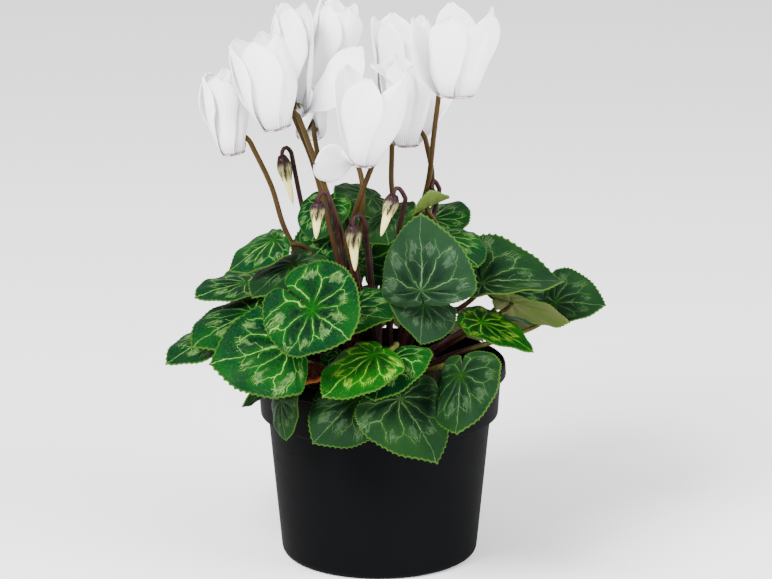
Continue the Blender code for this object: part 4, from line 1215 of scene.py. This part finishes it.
def mouth_patch(flower):
    """The tube: outside from its top down to the mouth, round the lip, and up the inside."""
    top = 0.8 * flower.radius
    profile = rounded(
        [(0.02, TUBE_HEIGHT), (top, 0.75 * TUBE_HEIGHT),
         (flower.radius, 0.0), (flower.radius - MOUTH_LIP, 0.0),
         (top - MOUTH_LIP, 0.62 * TUBE_HEIGHT), (0.02, 0.78 * TUBE_HEIGHT)],
        (0.0, 1.5, 0.5, 0.5, 1.5, 0.0))
    return lobed_patch(flower, profile, 40, 0.05, math.radians(flower.side + PETAL_TURNS[2]))


def anther_patch(flower):
    """A cone of five anthers with the style standing out of it, down inside the mouth."""
    profile = [(radius, share * TUBE_HEIGHT) for radius, share in ANTHERS]
    return lobed_patch(flower, profile, 20, 0.12, 0.0)


def make_flowers(settings):
    white, yellow = petal_white(settings), pollen()
    faces = grid_faces(settings.rows, settings.columns)
    for i, flower in enumerate(FLOWERS):
        name = f"flower_{i + 1:02d}"
        draw = np.random.default_rng(PETAL_SEED + i)
        sheet = Sheet()
        for number in range(len(PETAL_TURNS)):
            points, flat = petal_points(flower, number, settings, draw)
            sheet.add(points, faces, flat)
        petals = show(f"{name}_petals", sheet.mesh(f"{name}_petals", [white], ["petal"]), "petal_white", name)
        thicken(petals, settings.thickness, 0.0)
        tube = Sheet()
        tube.add(*mouth_patch(flower))
        tube.add(*anther_patch(flower), 1)
        show(f"{name}_tube", tube.mesh(f"{name}_tube", [white, yellow], ["petal"]), "petal_white")


# Buds


def bud_line(bud):
    """Where the bud's calyx starts, the way down to its tip, and how far that is."""
    top = Vector(bud.top)
    down = Vector(bud.tip) - top
    return top, down.normalized(), down.length


def bud_place(bud, share, turn, radius):
    """A point of the bud, at a share of its length and an angle round it."""
    top, down, length = bud_line(bud)
    across = down.cross(Vector((0, 1, 0))).normalized()
    beside = down.cross(across)
    return top + share * length * down + radius * (math.cos(turn) * across + math.sin(turn) * beside)


def bud_radius(bud, share):
    return bud.radius * float(spread(share, BUD_BODY, 0.04))


def make_bud(number, bud, material):
    """Five furled petals wound round each other down to a point."""
    points, flat = [], []
    for row in range(BUD_ROWS):
        share = 0.06 + 0.94 * row / (BUD_ROWS - 1)
        for turn in ring_turns(BUD_SIDES):
            furl = (5 * (turn - BUD_TWIST * share) / (2 * math.pi)) % 1.0
            furled = 0.86 + FURL * (furl**0.7 - max(0.0, (furl - 0.9) / 0.1))
            points.append(bud_place(bud, share, turn, bud_radius(bud, share) * furled))
            flat.append((turn / (2 * math.pi), share))
    sheet = Sheet()
    sheet.add(points, capped_faces(BUD_ROWS, BUD_SIDES), flat)
    name = f"bud_{number:02d}"
    show(f"{name}_furled", sheet.mesh(f"{name}_furled", [material], ["petal"]), "bud_cream", name)


def make_buds():
    material = bud_cream()
    for number, bud in enumerate(BUDS, 1):
        make_bud(number, bud, material)


# Calyxes


def sepal_patch(place):
    """A pointed sepal. Its place is a function of how far along it is and how far across."""
    points, flat = [], []
    for t in np.linspace(0.0, 1.0, SEPAL_ROWS):
        for s in np.linspace(-1.0, 1.0, SEPAL_COLUMNS):
            points.append(place(float(t), float(s * spread(t, SEPAL_WIDTH, 0.05))))
            flat.append((0.5 + 0.5 * s, t))
    return points, grid_faces(SEPAL_ROWS, SEPAL_COLUMNS), flat


def bud_sepal(bud, number):
    """A sepal that hugs the bud's upper half."""
    def place(t, s):
        share = 0.01 + 0.50 * t
        turn = ring_turns(SEPALS)[number] + BUD_TWIST * 0.3 * t + s * math.radians(38)
        lift = 0.25 + 0.35 * (1 - s * s) * math.sin(math.pi * min(1.0, t * 1.1))
        return bud_place(bud, share, turn, bud_radius(bud, share) * 1.04 + lift)
    return sepal_patch(place)


def flower_sepal(flower, number):
    """A sepal spread over the shoulder of the flower's tube."""
    matrix = flower_frame(flower)

    def place(t, s):
        out = 1.0 + (0.84 * flower.radius - 0.6) * t
        down = TUBE_HEIGHT + 0.5 - 1.8 * t**2.2 - 0.35 * s * s
        turn = math.radians(flower.side + 36.0) + ring_turns(SEPALS)[number]
        turn += s * math.radians(30) * (1 - 0.35 * t)
        return matrix @ Vector(polar(out, turn, down))
    return sepal_patch(place)


def make_calyxes():
    sheet = Sheet()
    for bud, number in product(BUDS, range(SEPALS)):
        sheet.add(*bud_sepal(bud, number))
    for flower, number in product(FLOWERS, range(SEPALS)):
        sheet.add(*flower_sepal(flower, number))
    made = show("calyxes", sheet.mesh("calyxes", [calyx_skin()], ["petal"]), "stalk_brown")
    thicken(made, MM * SEPAL_THICKNESS, 0.0)


# Stalks


def distances(points):
    """How far along the route each of its points is."""
    return np.concatenate([[0.0], np.cumsum(np.linalg.norm(np.diff(points, axis=0), axis=1))])


def smooth_route(points, count):
    """Catmull-Rom through the points, read at evenly spaced places along its length."""
    ends = [2 * points[0] - points[1], *points, 2 * points[-1] - points[-2]]
    fine = []
    for a, b, c, d in zip(ends, ends[1:], ends[2:], ends[3:]):
        for t in np.linspace(0.0, 1.0, 12, endpoint=False):
            fine.append(0.5 * (2 * b + (c - a) * t + (2 * a - 5 * b + 4 * c - d) * t**2
                               + (3 * b - a - 3 * c + d) * t**3))
    fine.append(points[-1])
    fine = np.array(fine)
    along = distances(fine)
    places = np.linspace(0.0, along[-1], count)
    return np.stack([np.interp(places, along, fine[:, k]) for k in range(3)], axis=1)


def rod_route(points, count):
    return [Vector(p) for p in smooth_route([np.array(p) for p in points], count)]


def climb(route, sway_x, sway_y):
    """The seen part of a stalk, and a hidden place halfway to the crown, moved aside by the sways."""
    points = [Vector(p) for p in reversed(route)]
    halfway = points[0].lerp(points[1], 0.5) + Vector((sway_x, sway_y, 0.0))
    return [points[0], halfway, *points[1:]]


def leaf_stalk_route(leaf, sway, lift):
    """From the crown, up and out, to just under the blade, bent sideways by sway and upward by lift."""
    _, along, up = leaf_axes(leaf)
    out = Vector((leaf.x, leaf.y, 0.0))
    away = out.length
    out.normalize()
    sideways = Vector((-out.y, out.x, 0.0))
    tilt = min(ARRIVE_TILT_MOST, ARRIVE_TILT + ARRIVE_TILT_PER_PITCH * max(0.0, -leaf.pitch))
    tilt = math.radians(tilt)
    arrive = (math.cos(tilt) * up + math.sin(tilt) * along).normalized()
    end = Vector(leaf[:3]) - (BLADE + FIT_GAP) * up
    neck = end - LEAF_NECK * up
    root = out * min(ROOT_FAR, ROOT_NEAR + ROOT_SPREAD * away) + Vector((0, 0, CROWN_HEIGHT))
    rise = max(LEAST_RISE, RISE_SHARE * (leaf.z - CROWN_HEIGHT))
    first = root + HANDLE_SHARE * away * out + sway * sideways + Vector((0, 0, rise + lift))
    second = neck - HANDLE_SHARE * (neck - root).length * arrive
    second += LATE_SWAY * sway * sideways + Vector((0, 0, LATE_LIFT * lift))
    route = []
    for k in range(LEAF_STALK_STEPS + 1):
        t = k / LEAF_STALK_STEPS
        s = 1.0 - t
        route.append(s**3 * root + 3 * s * s * t * first + 3 * s * t * t * second + t**3 * neck)
    return route + [end]


def flower_stalk_route(flower, sway_x, sway_y, turn):
    """From the crown along the route, up beside the mouth and over, down onto the flower's tube."""
    matrix = flower_frame(flower)
    side = math.radians(flower.side + turn)
    wide = flower.radius / HOOK_MOUTH
    hook = [matrix @ Vector(polar(wide * out, side, TUBE_HEIGHT + high)) for out, high in HOOK]
    return rod_route(climb(flower.route, sway_x, sway_y) + hook[:1], FLOWER_STALK_STEPS) + hook[1:]


def bud_stalk_route(bud, sway_x, sway_y):
    """From the crown along the route, over the top, and on inside the calyx."""
    top, down, length = bud_line(bud)
    route = rod_route(climb(bud.route, sway_x, sway_y), BUD_STALK_STEPS)
    arch = [route[-1].lerp(top, share) + Vector((0, 0, rise)) for share, rise in BUD_ARCH]
    return route + arch + [top + share * length * down for share in CALYX_SHARES]


class Crowd:
    """The solids of the pot and of every blade, flower and bud in one search tree, to lead stalks past."""

    def __init__(self, things):
        points, faces, self.owners = [], [], []
        for thing in things:
            start = len(points)
            points += [vertex.co / MM for vertex in thing.data.vertices]
            for face in thing.data.polygons:
                faces.append([start + corner for corner in face.vertices])
                self.owners.append(thing.name)
        self.tree = BVHTree.FromPolygons(points, faces)

    def room(self, points, radii, own):
        """The least gap from a rod to the others, and to its own blade or flower but for its last steps."""
        least = WIDEST_LOOK
        for i, (a, b) in enumerate(zip(points, points[1:])):
            steps = max(1, round((b - a).length / LOOK_STEP))
            for k in range(steps):
                radius = radii[i] + (radii[i + 1] - radii[i]) * k / steps
                for _, _, face, far in self.tree.find_nearest_range(a.lerp(b, k / steps), radius + least):
                    if self.owners[face] != own or i < len(points) - OWN_STEPS:
                        least = min(least, far - radius)
        return least

    def clear_route(self, route, plant, radii, own, tries):
        """The first of the tries whose route keeps clear of everything, or else the clearest."""
        best, widest = None, -math.inf
        for bends in tries:
            points = route(plant, *bends)
            gap = self.room(points, radii, own)
            if gap >= STALK_GAP:
                return points
            if gap > widest:
                best, widest = points, gap
        return best


def gentlest_first(*ranges):
    """Every choice of one bend from each range, the straightest first."""
    return sorted(product(*ranges), key=lambda bends: sum(bend * bend for bend in bends))


def tapered(radius, taper, count):
    return [float(share) * radius for share in np.linspace(*taper, count)]


def rod_patch(points, radii, sides):
    """A round rod through the points, closed at both ends, with its rings kept from twisting."""
    points = np.asarray(points)
    forward = np.gradient(points, axis=0)
    forward /= np.linalg.norm(forward, axis=1)[:, None]
    across = np.cross(forward[0], (0.3, 0.9, 0.1))
    turns = np.array(ring_turns(sides))
    made, flat = [], []
    for k, (point, ahead, radius) in enumerate(zip(points, forward, radii)):
        across = across - ahead * across.dot(ahead)
        across = across / np.linalg.norm(across)
        beside = np.cross(ahead, across)
        ring = np.outer(np.cos(turns), across) + np.outer(np.sin(turns), beside)
        made.append(point + radius * ring)
        flat.append(np.stack([turns / (2 * math.pi), np.full(sides, k / len(points))], axis=1))
    return np.concatenate(made), capped_faces(len(points), sides), np.concatenate(flat)


def fine_rod(route, radii, count, sides):
    """The route's rod at a fine spacing, with its radii spread along it."""
    points = [np.array(p) for p in route]
    along = distances(points)
    places = np.linspace(0.0, along[-1], count)
    return rod_patch(smooth_route(points, count), np.interp(places, along, radii), sides)


def leaf_stalks(sheet, crowd, sides):
    bends = gentlest_first(LEAF_SWAYS, LEAF_LIFTS)
    radii = tapered(LEAF_STALK_RADIUS, LEAF_STALK_TAPER, LEAF_STALK_STEPS + 2)
    for number, leaf in enumerate(LEAVES, 1):
        route = crowd.clear_route(leaf_stalk_route, leaf, radii, f"leaf_{number:02d}", bends)
        route[-1] = Vector(leaf[:3]) - FIT_GAP * leaf_axes(leaf)[2]
        sheet.add(*fine_rod(route, radii, LEAF_STALK_RINGS, sides))


def flower_stalks(sheet, crowd, sides):
    bends = gentlest_first(FLOWER_SWAYS, FLOWER_SWAYS, HOOK_TURNS)
    radii = tapered(FLOWER_STALK_RADIUS, FLOWER_STALK_TAPER, FLOWER_STALK_STEPS + len(HOOK) - 1)
    tried = radii[:-1] + [CALYX_RADIUS]
    for number, flower in enumerate(FLOWERS, 1):
        route = crowd.clear_route(flower_stalk_route, flower, tried, f"flower_{number:02d}", bends)
        sheet.add(*fine_rod(route, radii[:-1] + [0.7 * CALYX_RADIUS], FLOWER_STALK_RINGS, sides))


def bud_stalks(sheet, crowd, sides):
    bends = gentlest_first(FLOWER_SWAYS, FLOWER_SWAYS)
    stem = tapered(BUD_STALK_RADIUS, BUD_STALK_TAPER, BUD_STALK_STEPS + len(BUD_ARCH) + 1)
    for number, bud in enumerate(BUDS, 1):
        tried = stem + [BUD_STALK_TAPER[1] * bud.radius, bud.radius]
        route = crowd.clear_route(bud_stalk_route, bud, tried, f"bud_{number:02d}", bends)
        sheet.add(*fine_rod(route[:-1], stem + [0.5 * bud.radius], BUD_STALK_RINGS, sides), 1)


def make_stalks(settings):
    """Every stalk, led past the blades and petals in the same way as in the solids."""
    crowd = Crowd([thing for name, thing in frame["nodes"].items() if name != "tuber_and_stalks"])
    sheet = Sheet()
    leaf_stalks(sheet, crowd, settings.sides)
    flower_stalks(sheet, crowd, settings.sides)
    bud_stalks(sheet, crowd, settings.sides)
    mesh = sheet.mesh("stalks", [stalk_skin(settings), bud_stalk_skin()], ["rod"])
    show("stalks", mesh, "stalk_brown", "tuber_and_stalks")


def make_tuber():
    """The corky tuber, half out of the compost."""
    work = bmesh.new()
    bmesh.ops.create_icosphere(work, subdivisions=5, radius=1.0)
    half = Vector((TUBER_RADIUS, TUBER_RADIUS, TUBER_HALF_HEIGHT))
    for vertex in work.verts:
        lump = 1.0 + TUBER_LUMPS * noise.fractal(3.0 * vertex.co, 0.8, 2.0, 4)
        vertex.co = MM * (vertex.co * half * lump + Vector((0, 0, TUBER_MIDDLE)))
    mesh = bpy.data.meshes.new("tuber")
    work.to_mesh(mesh)
    work.free()
    mesh.materials.append(cork())
    mesh.shade_smooth()
    show("tuber", mesh, "stalk_brown")


# Stage


def add_light(name, place, size, power):
    """A round soft light that points at the plant."""
    light = bpy.data.lights.new(name, "AREA")
    light.shape = "DISK"
    light.size = MM * size
    light.energy = power
    made = linked(name, light)
    made.location = MM * Vector(place)
    made.rotation_euler = (MM * Vector(LIGHTS_AIM) - made.location).to_track_quat("-Z", "Y").to_euler()


def add_floor(settings):
    finish = Finish("pale_floor")
    cloud = finish.noise(finish.place(), 3.0, 2.0)
    shade = finish.mix(tuple(settings.floor), (0.885, 0.885, 0.89), cloud)
    mesh = bpy.data.meshes.new("floor")
    reach = MM * FLOOR_REACH
    corners = [(-reach, -reach, 0), (reach, -reach, 0), (reach, reach, 0), (-reach, reach, 0)]
    mesh.from_pydata(corners, [], [(0, 1, 2, 3)])
    mesh.materials.append(finish.wear(Base_Color=shade, Roughness=0.85))
    linked("floor", mesh)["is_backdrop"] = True


def add_camera():
    camera = bpy.data.cameras.new("camera")
    camera.sensor_width = SENSOR_WIDTH
    camera.lens = CAMERA_LENS
    holder = linked("camera", camera)
    holder.location = MM * Vector(CAMERA_PLACE)
    holder.rotation_euler = (math.radians(90.0 - CAMERA_PITCH), 0.0, 0.0)
    bpy.context.scene.camera = holder


def make_stage(settings):
    add_floor(settings)
    world = bpy.data.worlds.new("studio")
    world.use_nodes = True
    sky = world.node_tree.nodes["Background"].inputs
    sky["Color"].default_value = (1.0, 1.0, 1.0, 1.0)
    sky["Strength"].default_value = settings.sky
    bpy.context.scene.world = world
    for name, place, size in LIGHTS:
        add_light(name, place, size, getattr(settings, name))
    add_camera()


# Operators and the panel


class MakePot(bpy.types.Operator):
    """Makes the nursery pot."""

    bl_idname = "cyclamen.pot"
    bl_label = "Pot"

    def execute(self, context):
        make_pot(context.scene.cyclamen_pot)
        return {"FINISHED"}


class MakeSoil(bpy.types.Operator):
    """Makes the compost with its crumbs."""

    bl_idname = "cyclamen.soil"
    bl_label = "Compost"

    def execute(self, context):
        make_soil(context.scene.cyclamen_pot)
        return {"FINISHED"}


class MakeStalks(bpy.types.Operator):
    """Makes the tuber and every stalk."""

    bl_idname = "cyclamen.stalks"
    bl_label = "Tuber and stalks"

    def execute(self, context):
        make_tuber()
        make_stalks(context.scene.cyclamen_stalks)
        return {"FINISHED"}


class MakeLeaves(bpy.types.Operator):
    """Makes every leaf blade."""

    bl_idname = "cyclamen.leaves"
    bl_label = "Leaves"

    def execute(self, context):
        make_leaves(context.scene.cyclamen_leaves)
        return {"FINISHED"}


class MakeFlowers(bpy.types.Operator):
    """Makes the open flowers."""

    bl_idname = "cyclamen.flowers"
    bl_label = "Flowers"

    def execute(self, context):
        make_flowers(context.scene.cyclamen_flowers)
        return {"FINISHED"}


class MakeBuds(bpy.types.Operator):
    """Makes the furled buds, and the calyxes of buds and flowers."""

    bl_idname = "cyclamen.buds"
    bl_label = "Buds and calyxes"

    def execute(self, context):
        make_buds()
        make_calyxes()
        return {"FINISHED"}


class MakeStage(bpy.types.Operator):
    """Makes the floor, the lights and the camera."""

    bl_idname = "cyclamen.stage"
    bl_label = "Stage"

    def execute(self, context):
        make_stage(context.scene.cyclamen_stage)
        return {"FINISHED"}


OPERATORS = (MakePot, MakeSoil, MakeStalks, MakeLeaves, MakeFlowers, MakeBuds, MakeStage)
SETTINGS = {
    "cyclamen_pot": PotSettings,
    "cyclamen_leaves": LeafSettings,
    "cyclamen_flowers": FlowerSettings,
    "cyclamen_stalks": StalkSettings,
    "cyclamen_stage": StageSettings,
}


class CyclamenPanel(bpy.types.Panel):
    """Lists the pieces to make and their settings."""

    bl_idname = "VIEW3D_PT_cyclamen"
    bl_label = "Potted cyclamen"
    bl_space_type = "VIEW_3D"
    bl_region_type = "UI"
    bl_category = "Cyclamen"

    def draw(self, context):
        for operator in OPERATORS:
            self.layout.operator(operator.bl_idname)
        for name, group in SETTINGS.items():
            box = self.layout.box()
            for key in group.__annotations__:
                box.prop(getattr(context.scene, name), key)


def register():
    for group in (*SETTINGS.values(), *OPERATORS, CyclamenPanel):
        bpy.utils.register_class(group)
    for name, group in SETTINGS.items():
        setattr(bpy.types.Scene, name, PointerProperty(type=group))


def unregister():
    for name in SETTINGS:
        delattr(bpy.types.Scene, name)
    for group in (CyclamenPanel, *OPERATORS, *SETTINGS.values()):
        bpy.utils.unregister_class(group)


def main():
    register()
    bpy.ops.cyclamen.pot()
    bpy.ops.cyclamen.soil()
    bpy.ops.cyclamen.stalks()
    bpy.ops.cyclamen.leaves()
    bpy.ops.cyclamen.flowers()
    bpy.ops.cyclamen.buds()
    bpy.ops.cyclamen.stage()
    boxes = {"cad": CAD_BOX, "visual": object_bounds()}
    {name: [list(corner) for corner in box] for name, box in boxes.items()}


if __name__ == "__main__":
    main()
